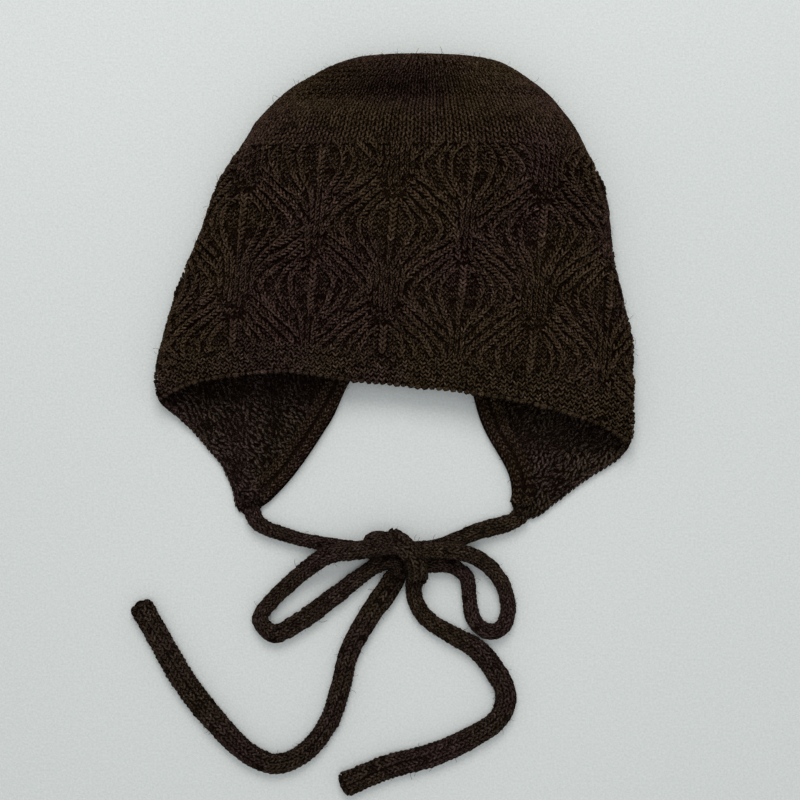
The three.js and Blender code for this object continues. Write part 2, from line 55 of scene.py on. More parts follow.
# y, left, right, crest, lift, fullness
CROWN = [
    (97.4, 0, 15, 10.0, 4.8, 2.0),
    (96.6, -12, 31, 13.5, 3.2, 2.0),
    (95.4, -18, 39, 16.5, 1.8, 2.1),
    (94.0, -22.5, 44, 18.8, 0.9, 2.2),
    (91.5, -28.5, 49, 21.4, 0.2, 2.3),
    (89.0, -33, 53, 22.9, 0, 2.5),
    (86.5, -37.5, 56.5, 23.8, 0, 2.7),
    (83.5, -42.5, 60.5, 24.3, 0, 3.0),
    (79.0, -48, 65.5, 24.8, 0, 3.3),
    (74.0, -53, 69.5, 25.0, 0, 3.6),
    (69.0, -57.5, 73.5, 25.0, 0, 3.8),
    (64.0, -60.5, 76.5, 24.6, 0, 4.0),
]
CROWN_TOP = (7.3, 97.8, 7.0)
DENT = {"x": 2, "y": 79.5, "depth": 8.5, "half_width": 36, "half_length": 6}
# share of the way down, crest, sag, fullness
BODY = [(0, 24.6, 0, 4), (0.3, 22, 0.04, 4.4), (0.6, 19, 0.12, 4.8), (0.85, 17, 0.26, 5), (1, 16, 0.4, 5)]
# across, y
FRONT_EDGE = [
    (-1, -46), (-0.86, -39.5), (-0.66, -36), (-0.45, -34.5), (-0.2, -38),
    (0.05, -40.5), (0.33, -43.5), (0.62, -49), (0.86, -56.5), (1, -64.5),
]
BACK_EDGE = [
    (-1, -33.35), (-0.16, -31.5), (-0.1, -23.5), (-0.03, -16.5), (0.085, -13.5),
    (0.19, -16.5), (0.25, -24), (0.28, -33), (1, -49.7),
]
# outer x, outer y, inner x, inner y, from the root to the tip
LEFT_FLAP = [
    (-98.5, -34, -16.5, -32.5), (-98.5, -45.5, -21.5, -43.5), (-91, -52.5, -25.5, -52.5),
    (-84, -59, -29.5, -59), (-78, -66, -34, -66), (-72.5, -72.5, -38.5, -72.5),
    (-69, -79.5, -43.5, -79), (-67, -85, -48, -84), (-66, -90, -52, -88), (-63, -95, -55.5, -91),
]
RIGHT_FLAP = [
    (98.5, -51, 30.5, -35), (99, -59, 33, -44), (98, -65, 35.5, -53), (94, -70, 38.5, -60),
    (88, -74, 42.5, -67), (82, -77.5, 45.5, -72), (75.5, -82, 48, -77.5), (69, -87, 49, -82.5),
    (64, -91, 49, -86.5), (57, -97.8, 47.5, -90.3),
]
FLAP_WALL = 2.6
FLAP_CURL = {"height": 3.9, "reach": 9, "rows": 0.35}
NAPE_EDGE = [
    (-54, -88.5), (-43.5, -78), (-34, -65), (-25.5, -51.5), (-19, -39), (-12.5, -28), (-4, -18.5),
    (8.5, -13.5), (21, -18.5), (28, -29), (33.5, -44.5), (39, -60), (46, -72), (49.2, -82), (48.2, -88.5),
]
# distance in from the nape's edge, height
NAPE_SECTION = [
    (0.3, 3.2), (0.1, 4.4), (1.2, 5.4), (3.2, 5.6), (4.6, 4.7), (5.0, 4.2),
    (5.4, 4.7), (6.8, 5.5), (8.4, 5.2), (9.5, 4.0), (9.4, 3.0), (5.0, 2.9),
]

# Tie routes: x, y, height of the middle, half width, half height
LEFT_TIE = [
    (-60, -90.5, 3.2, 3.2, 2.6), (-58.9, -94, 3.1, 3.1, 2.8), (-57.3, -96.9, 3, 3, 2.9),
    (-53.6, -99.4, 3, 2.8, 2.8), (-47.6, -101.5, 3, 2.7, 2.7), (-39.6, -103.9, 3, 2.6, 2.7),
    (-27, -106.5, 3, 2.9, 2.7), (-17, -107.9, 3, 2.9, 2.7), (-8.5, -108.5, 3, 2.8, 2.8),
    (-1, -109.5, 3.6, 2.8, 2.8),
    (4.4, -109.6, 5.6, 2.8, 2.8), (3.2, -107.4, 9, 2.8, 2.8), (-3.5, -106.4, 10.2, 3.2, 3),
    (-14.5, -108, 9.9, 3.6, 3), (-26.6, -109.6, 9.8, 3.6, 3), (-32.9, -113.4, 7.3, 3.5, 3),
    (-38.4, -117.7, 4.8, 3.3, 3), (-44.5, -123.1, 3.5, 3.2, 3), (-50.6, -129, 3.1, 3.1, 3),
    (-56.2, -137.2, 3, 3.1, 3), (-50.6, -143.4, 3, 3.6, 3), (-39.6, -138.4, 3, 3.8, 3),
    (-26.4, -128.8, 3, 3.7, 3), (-12.9, -118.4, 3.2, 3.1, 3), (-6.8, -114.6, 4, 3, 2.9),
    (-0.5, -113.6, 4.8, 2.8, 2.8), (2.2, -115.6, 4.2, 2.9, 2.8), (0.4, -119.6, 3, 4.4, 2.8),
    (-2.9, -125.2, 2.8, 4.8, 2.8), (-11, -136.8, 2.8, 4.5, 2.8), (-19, -151.5, 2.8, 4.1, 2.8),
    (-22.6, -166, 2.8, 4, 2.8), (-27.5, -180.5, 2.8, 3.9, 2.8), (-37.1, -192.7, 2.8, 3.9, 2.8),
    (-49.2, -198, 2.8, 4, 2.8), (-61, -193.7, 2.8, 4.2, 2.8), (-75.6, -179.3, 2.8, 4.8, 2.8),
    (-88.1, -163.3, 2.8, 4.9, 2.8), (-97.4, -147.2, 2.8, 4.8, 2.8), (-103, -137.4, 2.8, 4.8, 2.8),
    (-107.2, -130, 2.9, 5.4, 2.9),
]
RIGHT_TIE = [
    (53.6, -91.2, 3.2, 3.5, 2.6), (52, -94.4, 3.1, 3.4, 2.8), (49.2, -96.6, 3, 3.2, 2.9),
    (44.3, -98.2, 3, 3.4, 2.8), (36, -100.4, 3, 3.3, 2.8), (27.5, -103.6, 3, 3.1, 2.8),
    (19, -106.6, 3, 2.8, 2.8), (13, -107.8, 3, 2.8, 2.8), (6.5, -107.6, 5, 2.8, 2.8),
    (-0.5, -106.4, 9, 3, 2.8),
    (-4.4, -103.6, 10, 3.2, 2.8), (-8.8, -104.2, 8.6, 3.2, 2.8), (-10.6, -107.4, 5.8, 3, 2.8),
    (-8, -110, 4.4, 2.8, 2.6), (-4, -107.6, 3.6, 2.8, 2.6), (-2.2, -104.4, 3.8, 3.4, 2.4),
    (-1.2, -103, 6.2, 4, 2.6), (1.2, -104, 9.5, 4.3, 2.8), (4.5, -106.7, 11.6, 4.4, 3),
    (8.1, -110.5, 12, 4.4, 3), (9.8, -116, 10, 4.3, 2.8), (9.2, -120.4, 5.8, 4, 2.6),
    (7.4, -119.2, 3.4, 3, 2.4), (6, -115, 4, 2.8, 2.6), (7.4, -110.6, 7.4, 2.8, 2.7),
    (11.5, -108.6, 9.8, 3, 2.9), (19, -108, 9.9, 3.3, 3), (27, -108.7, 9.8, 3.4, 3),
    (35.6, -112.4, 5.2, 3.2, 3), (41.9, -117.9, 3.6, 3, 3), (45.8, -124.2, 3.2, 3, 3),
    (47.5, -133.5, 3.1, 3, 3), (45, -140.8, 3, 3.1, 3), (39.5, -142.6, 3, 3.1, 3),
    (33.6, -138.3, 3, 2.9, 3), (31.2, -128.5, 3, 2.8, 3), (30.3, -120.4, 3, 2.9, 3),
    (24.2, -115.4, 3, 3, 3), (14, -115, 3, 2.9, 2.8), (9.4, -117, 3, 2.9, 2.7),
    (8.2, -121.6, 2.8, 3.2, 2.8), (8.3, -128.2, 2.8, 3.2, 2.8), (12.8, -136.5, 2.8, 3.2, 2.8),
    (22.4, -143.1, 2.8, 3.5, 2.8), (34.5, -150.1, 2.8, 4.2, 2.8), (42.5, -159.8, 2.8, 4.3, 2.8),
    (46.6, -169.8, 2.8, 4.2, 2.8), (43.2, -179.4, 2.8, 4.1, 2.8), (32.4, -186.8, 2.8, 4.4, 2.8),
    (15.7, -194.3, 2.8, 4.7, 2.8), (-2, -199, 2.8, 4.9, 2.8), (-13.5, -203.6, 2.8, 5, 2.8),
    (-23, -207.6, 2.9, 5.4, 2.9),
]
KNOT_MIDDLE = (3, -111, 5.5)
KNOT_REACH = 14.0

# Lace chart: the right half of one repeat, across from the motif's axis and down from its node, in mm.
# Each rib is a chain of knit stitches on a ground of smaller plain ones.
LACE = {
    "pitch": 30.8, "middle": -3.4, "lean": 0.085, "tilt": 0.04,
    "node": 39.5, "repeat": 51.5, "sway": 0.25,
}
CENTRE_RIB = [(0.3, 3.2), (0.4, 12), (0.2, 18.5), (0, 27), (0, 50)]
WIDE_STEM_RIBS = [
    [(2.2, 4.2), (5.2, 6.4), (7.6, 9.4), (9.0, 13), (8.2, 17.4), (6.4, 22.4), (4.2, 26), (2.4, 30.5),
     (2.1, 49.5)],
    [(4.4, 1.6), (7.4, 4.8), (10.8, 8.6), (13.8, 13), (13.0, 17), (11.2, 20.6), (8.0, 24.8), (5.4, 29),
     (4.3, 33.5), (4.2, 48)],
    [(6.0, -1.0), (9.6, 2.4), (14.4, 6.6), (19.0, 11.4), (20.8, 15.2), (18.6, 19.4), (15.4, 23), (11.0, 27.2),
     (7.8, 31), (6.5, 35), (6.3, 46)],
    [(7.0, -4.4), (12.4, 0.4), (18.2, 5.0), (23.4, 9.8), (26.2, 14), (27.6, 19), (28.2, 27)],
    [(7.2, -8.2), (12.8, -3.4), (18.6, 1.2), (24.4, 5.6), (27.6, 9.8)],
]
NARROW_STEM_RIBS = [
    [(2.2, 4.2), (5.2, 6.4), (7.6, 9.4), (9.0, 13), (8.2, 17.4), (6.4, 22.4), (4.2, 26), (2.5, 30.5),
     (2.2, 49.5)],
    [(3.8, 1.4), (7.0, 4.6), (10.6, 8.4), (13.8, 13), (13.0, 17), (11.2, 20.6), (8.0, 24.8), (5.0, 29)],
    [(4.6, -1.6), (8.8, 1.8), (14.0, 6.2), (18.8, 11.2), (20.6, 15), (18.4, 19.2), (15.4, 22.8), (10.8, 27.2),
     (7.2, 31.2), (5.0, 35)],
    [(4.4, -5.0), (7.6, -2.8), (13.4, 1.4), (18.0, 4.8), (22.0, 8.6), (23.8, 12.6), (23.8, 18)],
    [(4.8, -9.0), (8.0, -6.6), (13.6, -2.6), (18.4, 0.8), (22.4, 4.2)],
]
# Width and rise of each rib's stitches, the centre rib first; the rise also lightens the rib, a painted
# highlight
RIB_WIDTHS = [3.2, 2.2, 2.2, 2.4, 2.3, 2.2]
RIB_RISES = [1.7, 1.0, 0.8, 1.0, 1.0, 1.0]
STEM_WIDTH = 2.1
# Small holes beside the motif's node and at the foot of its centre rib
HOLES = [(2.6, 2.0), (3.2, 19.5), (3.4, -12.0)]
STITCH = {"pitch": 1.9, "hole": 1.5}
LACE_TOP = 59.0
# Stitch shapes, as shares of the stitch's own width, pitch and height
V_SHAPE = {"width": 0.48, "length": 1.65, "height": 0.75, "apart": 0.23, "lean": 0.34}
PLAIN_SHAPE = {"width": 0.43, "length": 1.4, "height": 0.7, "apart": 0.215, "lean": 0.5}
WALE_SHAPE = {"width": 0.41, "length": 1.5, "height": 0.85, "apart": 0.19, "lean": 0.24}
CROWN_SHAPE = {"width": 0.37, "length": 1.5, "height": 0.8, "apart": 0.225, "lean": 0.22}
TIE_SHAPE = {"width": 0.44, "length": 1.52, "height": 0.7, "apart": 0.22, "lean": 0.33}
BUMP_SHAPE = {"width": 1.0, "length": 1.0, "height": 1.0, "apart": 0.0, "lean": 0.0}


# Curves through short tables

def curve(rows, value=1):
    """A smooth line through a table's first column and the named other one."""
    table = sorted((float(row[0]), float(row[value])) for row in rows)
    x = np.array([row[0] for row in table])
    y = np.array([row[1] for row in table])
    slope = np.empty_like(y)
    slope[1:-1] = (y[2:] - y[:-2]) / (x[2:] - x[:-2])
    slope[0] = (y[1] - y[0]) / (x[1] - x[0])
    slope[-1] = (y[-1] - y[-2]) / (x[-1] - x[-2])

    def at(t):
        t = np.clip(t, x[0], x[-1])
        i = np.clip(np.searchsorted(x, t) - 1, 0, len(x) - 2)
        h = x[i + 1] - x[i]
        u = (t - x[i]) / h
        start = (2 * u**3 - 3 * u**2 + 1) * y[i] + (u**3 - 2 * u**2 + u) * h * slope[i]
        end = (3 * u**2 - 2 * u**3) * y[i + 1] + (u**3 - u**2) * h * slope[i + 1]
        return start + end

    return at


def lengths_along(points):
    """Lengths along a line of points, from its start to each of them."""
    return np.concatenate([[0], np.cumsum(np.linalg.norm(np.diff(points, axis=0), axis=1))])


def follow(at, lengths, rows):
    """The rows of a table at lengths along its line, each column on its own."""
    return np.column_stack([np.interp(at, lengths, rows[:, c]) for c in range(rows.shape[1])])


def spline(points, step):
    """Points every step along a smooth line through the given rows, all columns carried along."""
    points = np.asarray(points, float)
    first = 2 * points[0] - points[1]
    last = 2 * points[-1] - points[-2]
    p = np.vstack([first, points, last])
    knots = np.concatenate([[0], np.cumsum(np.linalg.norm(np.diff(p[:, :3], axis=0), axis=1) ** 0.5)])
    fine = []
    for i in range(1, len(p) - 2):
        t0, t1, t2, t3 = knots[i - 1 : i + 3]
        t = np.linspace(t1, t2, 24, endpoint=False)[:, None]
        a1 = (t1 - t) / (t1 - t0) * p[i - 1] + (t - t0) / (t1 - t0) * p[i]
        a2 = (t2 - t) / (t2 - t1) * p[i] + (t - t1) / (t2 - t1) * p[i + 1]
        a3 = (t3 - t) / (t3 - t2) * p[i + 1] + (t - t2) / (t3 - t2) * p[i + 2]
        b1 = (t2 - t) / (t2 - t0) * a1 + (t - t0) / (t2 - t0) * a2
        b2 = (t3 - t) / (t3 - t1) * a2 + (t - t1) / (t3 - t1) * a3
        fine.append((t2 - t) / (t2 - t1) * b1 + (t - t1) / (t2 - t1) * b2)
    fine = np.vstack([*fine, points[-1:]])
    run = lengths_along(fine[:, :3])
    count = max(2, int(round(run[-1] / step)) + 1)
    at = np.linspace(0, run[-1], count)
    return follow(at, run, fine)


def unit(v):
    return v / np.maximum(np.linalg.norm(v, axis=-1, keepdims=True), 1e-9)


def square_to(v, other):
    """Directions turned until they are square to the other ones."""
    return unit(v - np.sum(v * other, axis=1, keepdims=True) * other)


left_fold = curve(LEFT_FOLD)
right_fold = curve(RIGHT_FOLD)
front_edge = curve(FRONT_EDGE)
crown_of = {name: curve(CROWN, i + 1) for i, name in enumerate(["left", "right", "crest", "lift", "full"])}
body_of = {name: curve(BODY, i + 1) for i, name in enumerate(["crest", "sag", "full"])}


def back_edge(across):
    x, y = np.array(BACK_EDGE, float).T
    return np.interp(across, x, y)


def around(turn):
    """A place round a section: 0 at the front middle, 1 and -1 at the side folds, 2 at the back middle."""
    front = np.abs(turn) <= 1
    u = np.where(front, turn, np.sign(turn) * (2 - np.abs(turn)))
    return front, 1.25 * u - 0.25 * u**5


def share_down(turn, y):
    """How far down from crown line to front edge a place on the body is."""
    front, across = around(turn)
    fall = CROWN_LINE - np.asarray(y, float)
    on_front = fall / (CROWN_LINE - front_edge(across))
    on_back = BAND_LINE * fall / (CROWN_LINE - back_edge(across))
    return np.where(front, on_front, on_back)


def bag(turn, y):
    """A point of the hat's outer skin, in millimetres."""
    turn, y = np.broadcast_arrays(np.asarray(turn, float), np.asarray(y, float))
    front, across = around(turn)
    down = np.clip(share_down(turn, y), 0, 1.02)
    crown = y > CROWN_LINE
    fold_l = left_fold(CROWN_LINE + down * (front_edge(-1.0) - CROWN_LINE))
    fold_r = right_fold(CROWN_LINE + down * (front_edge(1.0) - CROWN_LINE))
    left = np.where(crown, crown_of["left"](y), fold_l)
    right = np.where(crown, crown_of["right"](y), fold_r)
    crest = np.where(crown, crown_of["crest"](y), body_of["crest"](down))
    full = np.where(crown, crown_of["full"](y), body_of["full"](down))
    sag = np.where(crown, 0, body_of["sag"](down))
    lift = np.where(crown, crown_of["lift"](y), 0)
    x = left + (right - left) * (across + 1) / 2
    dip = DENT["depth"] * np.exp(-(((y - DENT["y"]) / DENT["half_length"]) ** 2))
    dip = dip * np.exp(-(((x - DENT["x"]) / DENT["half_width"]) ** 2))
    rise = (crest - FOLD_HEIGHT) * (1 - sag * np.exp(-(((across - 0.03) / 0.32) ** 2))) - dip
    size = np.minimum(np.abs(across), 1)
    top = FOLD_HEIGHT + rise * np.sqrt(1 - size**full)
    flat = np.maximum(1 - FOLD_CURL / np.maximum(right - left, 1), 0.2)
    curl = np.clip((size - flat) / (1 - flat), 0, 1)
    under = lift + (FOLD_HEIGHT - lift) * (1 - np.sqrt(1 - curl**2))
    return np.stack([x, y, np.where(front, top, under)], axis=-1)


def skin(turn, y, out=0.0):
    """Point, outward normal and upward direction on the hat's skin."""
    turn = np.asarray(turn, float)
    y = np.asarray(y, float)
    up = unit(bag(turn, y + 0.4) - bag(turn, y - 0.4))
    normal = unit(np.cross(bag(turn + 0.006, y) - bag(turn - 0.006, y), up))
    return bag(turn, y) + normal * np.asarray(out)[..., None], normal, up


# Lengths round the hat at each height, so that stitches keep their width on the folds
TURNS = np.linspace(-2, 2, 481)
HEIGHTS = np.linspace(97.0, -67.0, 165)
section = bag(TURNS[None, :], HEIGHTS[:, None])
girth = np.cumsum(np.hypot(np.diff(section[..., 0], axis=1), np.diff(section[..., 2], axis=1)), axis=1)
girth = np.hstack([np.zeros((len(HEIGHTS), 1)), girth])
FRONT = np.abs(TURNS) <= 1
girth -= np.array([[np.interp(0, row[FRONT, 0], g[FRONT])] for row, g in zip(section, girth)])


def turn_at(length, y):
    """The place round the hat that lies a length from the line x = 0, at height y."""
    row = np.clip(HEIGHTS[0] - np.asarray(y, float), 0, len(HEIGHTS) - 1.001)
    low = row.astype(int)
    first = np.array([np.interp(s, girth[i], TURNS) for s, i in zip(length, low)])
    second = np.array([np.interp(s, girth[i + 1], TURNS) for s, i in zip(length, low)])
    return first + (second - first) * (row - low)


# Closed meshes

def sweep(rings, wrap=False, merge=False):
    """Faces of a closed solid from rings of points: sides, and caps unless the rings wrap round."""
    rings = np.asarray(rings, float)
    count, size, _ = rings.shape
    points = rings.reshape(-1, 3)
    faces = []
    for i in range(count if wrap else count - 1):
        j = (i + 1) % count
        for k in range(size):
            m = (k + 1) % size
            faces.append((i * size + k, i * size + m, j * size + m, j * size + k))
    if not wrap:
        middles = np.array([rings[0].mean(axis=0), rings[-1].mean(axis=0)])
        start = len(points)
        points = np.vstack([points, middles])
        for k in range(size):
            m = (k + 1) % size
            faces.append((start, m, k))
            faces.append((start + 1, (count - 1) * size + k, (count - 1) * size + m))
    return points, faces, merge


def solid(name, points, faces, merge=False):
    """A mesh object from points in millimetres, its faces turned outward."""
    mesh = bpy.data.meshes.new(name)
    mesh.from_pydata((np.asarray(points) * MM).tolist(), [], faces)
    made = bpy.data.objects.new(name, mesh)
    bpy.context.scene.collection.objects.link(made)
    clean(mesh, merge)
    mesh.shade_smooth()
    return made


def clean(mesh, merge):
    """Turn the faces outward, and merge doubled points where asked."""
    work = bmesh.new()
    work.from_mesh(mesh)
    if merge:
        bmesh.ops.remove_doubles(work, verts=work.verts, dist=2e-6)
    bmesh.ops.recalc_face_normals(work, faces=work.faces)
    work.to_mesh(mesh)
    work.free()


# Materials

class Value:
    """A shader value that takes part in Python sums."""

    def __init__(self, graph, socket):
        self.graph = graph
        self.socket = socket

    def __add__(self, other):
        return self.graph.math("ADD", self, other)

    def __radd__(self, other):
        return self.graph.math("ADD", other, self)

    def __sub__(self, other):
        return self.graph.math("SUBTRACT", self, other)

    def __rsub__(self, other):
        return self.graph.math("SUBTRACT", other, self)

    def __mul__(self, other):
        return self.graph.math("MULTIPLY", self, other)

    def __rmul__(self, other):
        return self.graph.math("MULTIPLY", other, self)

    def __pow__(self, other):
        return self.graph.math("POWER", self, other)


class Graph:
    """The nodes of one tree."""

    def __init__(self, tree):
        self.tree = tree

    def node(self, kind, settings=None, inputs=None):
        made = self.tree.nodes.new(kind)
        for name, value in (settings or {}).items():
            setattr(made, name, value)
        for name, value in (inputs or {}).items():
            self.set(made.inputs[name], value)
        return made

    def set(self, socket, value):
        if isinstance(value, Value):
            self.tree.links.new(value.socket, socket)
        elif isinstance(value, bpy.types.NodeSocket):
            self.tree.links.new(value, socket)
        else:
            socket.default_value = value

    def out(self, made, name):
        return Value(self, made.outputs[name])

    def math(self, operation, a, b):
        made = self.node("ShaderNodeMath", {"operation": operation}, {0: a, 1: b})
        return Value(self, made.outputs[0])

    def clamp(self, value):
        return self.math("MAXIMUM", self.math("MINIMUM", value, 1.0), 0.0)

    def mix(self, factor, a, b):
        made = self.node("ShaderNodeMix", {"data_type": "RGBA"})
        self.set(made.inputs["Factor"], factor)
        self.set(made.inputs[6], a)
        self.set(made.inputs[7], b)
        return Value(self, made.outputs[2])

    def noise(self, where, scale, detail=2.0, rough=0.5):
        made = self.node("ShaderNodeTexNoise", None, {"Vector": where, "Scale": scale, "Detail": detail})
        made.inputs["Roughness"].default_value = rough
        return self.out(made, "Fac")


def start_material(name):
    material = bpy.data.materials.new(name)
    material.use_nodes = True
    graph = Graph(material.node_tree)
    shader = next(n for n in material.node_tree.nodes if n.type == "BSDF_PRINCIPLED")
    where = graph.out(graph.node("ShaderNodeTexCoord"), "Object")
    return material, graph, shader, where


def wool(name, dark, light):
    """Brown wool yarn: heathered, dull, with a soft sheen; lighter on the raised stitches and leg tops as
    painted highlight, darker under the legs and on the cores between stitches as painted shade.
    """
    material, graph, shader, where = start_material(name)
    shade = graph.out(graph.node("ShaderNodeAttribute", {"attribute_name": "shade"}), "Fac")
    crest = graph.out(graph.node("ShaderNodeAttribute", {"attribute_name": "crest"}), "Fac")
    # Painted highlight and shade: a leg's top (crest 1) is lit, its underside (crest 0) and the cores (shade
    # 0) are dark
    lit_tone = shade * (0.04 + 1.3 * crest**2.0)
    heather = graph.noise(where, 1900.0, 2.0, 0.65)
    cloud = graph.noise(where, 40.0, 1.0)
    fibre = graph.noise(where, 3800.0, 2.0, 0.6)
    # The heather shows only on lit parts, so undersides and cores stay dark as painted shade
    upper = graph.math("MINIMUM", 0.3 + lit_tone * 3.5, 1.0)
    tone = graph.clamp(lit_tone * 0.85 + (heather - 0.5) * 5.2 * upper + (cloud - 0.5) * 0.3)
    drift = graph.clamp(graph.noise(where, 26.0, 1.0) * 4.0 - 1.5)
    olive = (light[0] * 0.98, light[1] * 1.06, light[2] * 0.78, 1.0)
    plum = (light[0], light[1] * 0.93, light[2] * 1.05, 1.0)
    body = graph.mix(tone, dark, graph.mix(drift, plum, olive))
    # Pale specks: real pale fibres, shown only on the lit leg tops as a painted highlight
    speck = graph.math("MAXIMUM", graph.noise(where, 1350.0, 1.0) * 7.0 - 4.0, 0.0)
    speck = graph.math("MINIMUM", speck * lit_tone, 0.85)
    pale = tuple(min(1.0, c * 2.0 + 0.012) for c in light[:3]) + (1.0,)
    graph.set(shader.inputs["Base Color"], graph.mix(speck, body, pale))
    graph.set(shader.inputs["Roughness"], 0.8 + heather * 0.18)
    bump = graph.node(
        "ShaderNodeBump", None, {"Strength": 0.6, "Distance": 0.0004, "Height": fibre * 0.6 + heather}
    )
    graph.set(shader.inputs["Normal"], graph.out(bump, "Normal"))
    shader.inputs["Specular IOR Level"].default_value = 0.0
    shader.inputs["Sheen Weight"].default_value = 0.01
    shader.inputs["Sheen Roughness"].default_value = 0.5
    shader.inputs["Sheen Tint"].default_value = (0.7, 0.55, 0.45, 1.0)
    return material


CROWN_WOOL = wool("crown wool", (0.0045, 0.0020, 0.0010, 1.0), (0.070, 0.043, 0.029, 1.0))
LACE_WOOL = wool("lace wool", (0.004, 0.0017, 0.0010, 1.0), (0.071, 0.043, 0.031, 1.0))
HEM_WOOL = wool("hem wool", (0.005, 0.0024, 0.0013, 1.0), (0.065, 0.041, 0.029, 1.0))
FLAP_WOOL = wool("flap wool", (0.004, 0.0019, 0.0012, 1.0), (0.059, 0.039, 0.031, 1.0))
TIE_WOOL = wool("tie wool", (0.005, 0.0026, 0.0016, 1.0), (0.050, 0.032, 0.0258, 1.0))
FUZZ_WOOL = wool("loose fibre", (0.020, 0.013, 0.009, 1.0), (0.075, 0.055, 0.044, 1.0))


# Geometry nodes: a stitch on each point

def new_input(tree, name, kind, value=None):
    socket = tree.interface.new_socket(name, in_out="INPUT", socket_type=kind)
    if value is not None:
        socket.default_value = value
    return socket.identifier


def put_on_points(graph, given, shape, output, smooth):
    """The shape on each point, turned and sized by the point's own attributes, as the tree's output."""
    turned = graph.node("GeometryNodeInputNamedAttribute", {"data_type": "QUATERNION"}, {"Name": "turn"})
    sized = graph.node("GeometryNodeInputNamedAttribute", {"data_type": "FLOAT_VECTOR"}, {"Name": "size"})
    placed = graph.node(
        "GeometryNodeInstanceOnPoints",
        None,
        {
            "Points": given.outputs["Points"],
            "Instance": shape,
            "Rotation": turned.outputs["Attribute"],
            "Scale": sized.outputs["Attribute"],
        },
    )
    mesh = graph.node("GeometryNodeRealizeInstances", None, {"Geometry": placed.outputs["Instances"]})
    if smooth:
        mesh = graph.node("GeometryNodeSetShadeSmooth", None, {"Geometry": mesh.outputs["Geometry"]})
    yarn = graph.node(
        "GeometryNodeSetMaterial",
        None,
        {"Geometry": mesh.outputs["Geometry"], "Material": given.outputs["Yarn"]},
    )
    graph.node("NodeGroupOutput", None, {output: yarn.outputs["Geometry"]})


def stitch_tree(name, legs):
    """One or two yarn legs on each point, turned and sized by the point's own attributes."""
    tree = bpy.data.node_groups.new(name, "GeometryNodeTree")
    keys = {"points": new_input(tree, "Points", "NodeSocketGeometry")}
    for key, label, value in [
        ("width", "Leg Width", 0.55),
        ("length", "Leg Length", 1.6),
        ("height", "Leg Height", 0.55),
        ("apart", "Leg Offset", 0.25),
        ("lean", "Leg Lean", 0.4),
    ]:
        keys[key] = new_input(tree, label, "NodeSocketFloat", value)
    keys["sides"] = new_input(tree, "Leg Sides", "NodeSocketInt", 6)
    keys["rings"] = new_input(tree, "Leg Rings", "NodeSocketInt", 3)
    keys["yarn"] = new_input(tree, "Yarn", "NodeSocketMaterial")
    tree.interface.new_socket("Stitches", in_out="OUTPUT", socket_type="NodeSocketGeometry")
    graph = Graph(tree)
    given = graph.node("NodeGroupInput")
    grain = graph.node(
        "GeometryNodeMeshUVSphere",
        None,
        {"Segments": given.outputs["Leg Sides"], "Rings": given.outputs["Leg Rings"], "Radius": 0.5},
    )
    # crest runs from 0 under each leg to 1 on its top, for the wool's painted highlight on tops and painted
    # shade beneath
    spot = graph.node("GeometryNodeInputPosition")
    spot = graph.node("ShaderNodeSeparateXYZ", None, {"Vector": spot.outputs["Position"]})
    marked = graph.node(
        "GeometryNodeStoreNamedAttribute",
        {"data_type": "FLOAT", "domain": "POINT"},
        {"Geometry": grain.outputs["Mesh"], "Name": "crest", "Value": 0.5 - graph.out(spot, "Y")},
    )
    size = graph.node(
        "ShaderNodeCombineXYZ",
        None,
        {"X": given.outputs["Leg Width"], "Y": given.outputs["Leg Height"], "Z": given.outputs["Leg Length"]},
    )
    join = graph.node("GeometryNodeJoinGeometry")
    lean = graph.out(given, "Leg Lean")
    apart = graph.out(given, "Leg Offset")
    for side in [1.0, -1.0][:legs]:
        place = graph.node("ShaderNodeCombineXYZ", None, {"X": apart * side})
        turn = graph.node("ShaderNodeCombineXYZ", None, {"X": -math.pi / 2, "Z": lean * -side})
        leg = graph.node(
            "GeometryNodeTransform",
            None,
            {
                "Geometry": marked.outputs["Geometry"],
                "Translation": place.outputs["Vector"],
                "Rotation": turn.outputs["Vector"],
                "Scale": size.outputs["Vector"],
            },
        )
        tree.links.new(leg.outputs["Geometry"], join.inputs["Geometry"])
    put_on_points(graph, given, join.outputs["Geometry"], "Stitches", True)
    return tree, keys


def fibre_tree(name):
    """A short curved fibre on each point."""
    tree = bpy.data.node_groups.new(name, "GeometryNodeTree")
    keys = {"points": new_input(tree, "Points", "NodeSocketGeometry")}
    keys["bend"] = new_input(tree, "Bend", "NodeSocketFloat", 0.5)
    keys["radius"] = new_input(tree, "Radius", "NodeSocketFloat", 0.01)
    keys["yarn"] = new_input(tree, "Yarn", "NodeSocketMaterial")
    tree.interface.new_socket("Fibres", in_out="OUTPUT", socket_type="NodeSocketGeometry")
    graph = Graph(tree)
    given = graph.node("NodeGroupInput")
    end = graph.node("ShaderNodeCombineXYZ", None, {"X": given.outputs["Bend"], "Z": 0.85})
    line = graph.node(
        "GeometryNodeCurveQuadraticBezier",
        None,
        {"Resolution": 2, "Start": (0, 0, 0), "Middle": (0, 0, 0.6), "End": end.outputs["Vector"]},
    )
    ring = graph.node(
        "GeometryNodeCurvePrimitiveCircle", None, {"Resolution": 3, "Radius": given.outputs["Radius"]}
    )
    hair = graph.node(
        "GeometryNodeCurveToMesh",
        None,
        {"Curve": line.outputs["Curve"], "Profile Curve": ring.outputs["Curve"], "Fill Caps": True},
    )
    # Each fibre counts wholly as a lit leg top, crest 1, and takes the full painted highlight
    marked = graph.node(
        "GeometryNodeStoreNamedAttribute",
        {"data_type": "FLOAT", "domain": "POINT"},
        {"Geometry": hair.outputs["Mesh"], "Name": "crest", "Value": 1.0},
    )
    put_on_points(graph, given, marked.outputs["Geometry"], "Fibres", False)
    return tree, keys


KNIT = stitch_tree("knit stitches", 2)
BUMPS = stitch_tree("single bumps", 1)
FIBRES = fibre_tree("loose fibres")


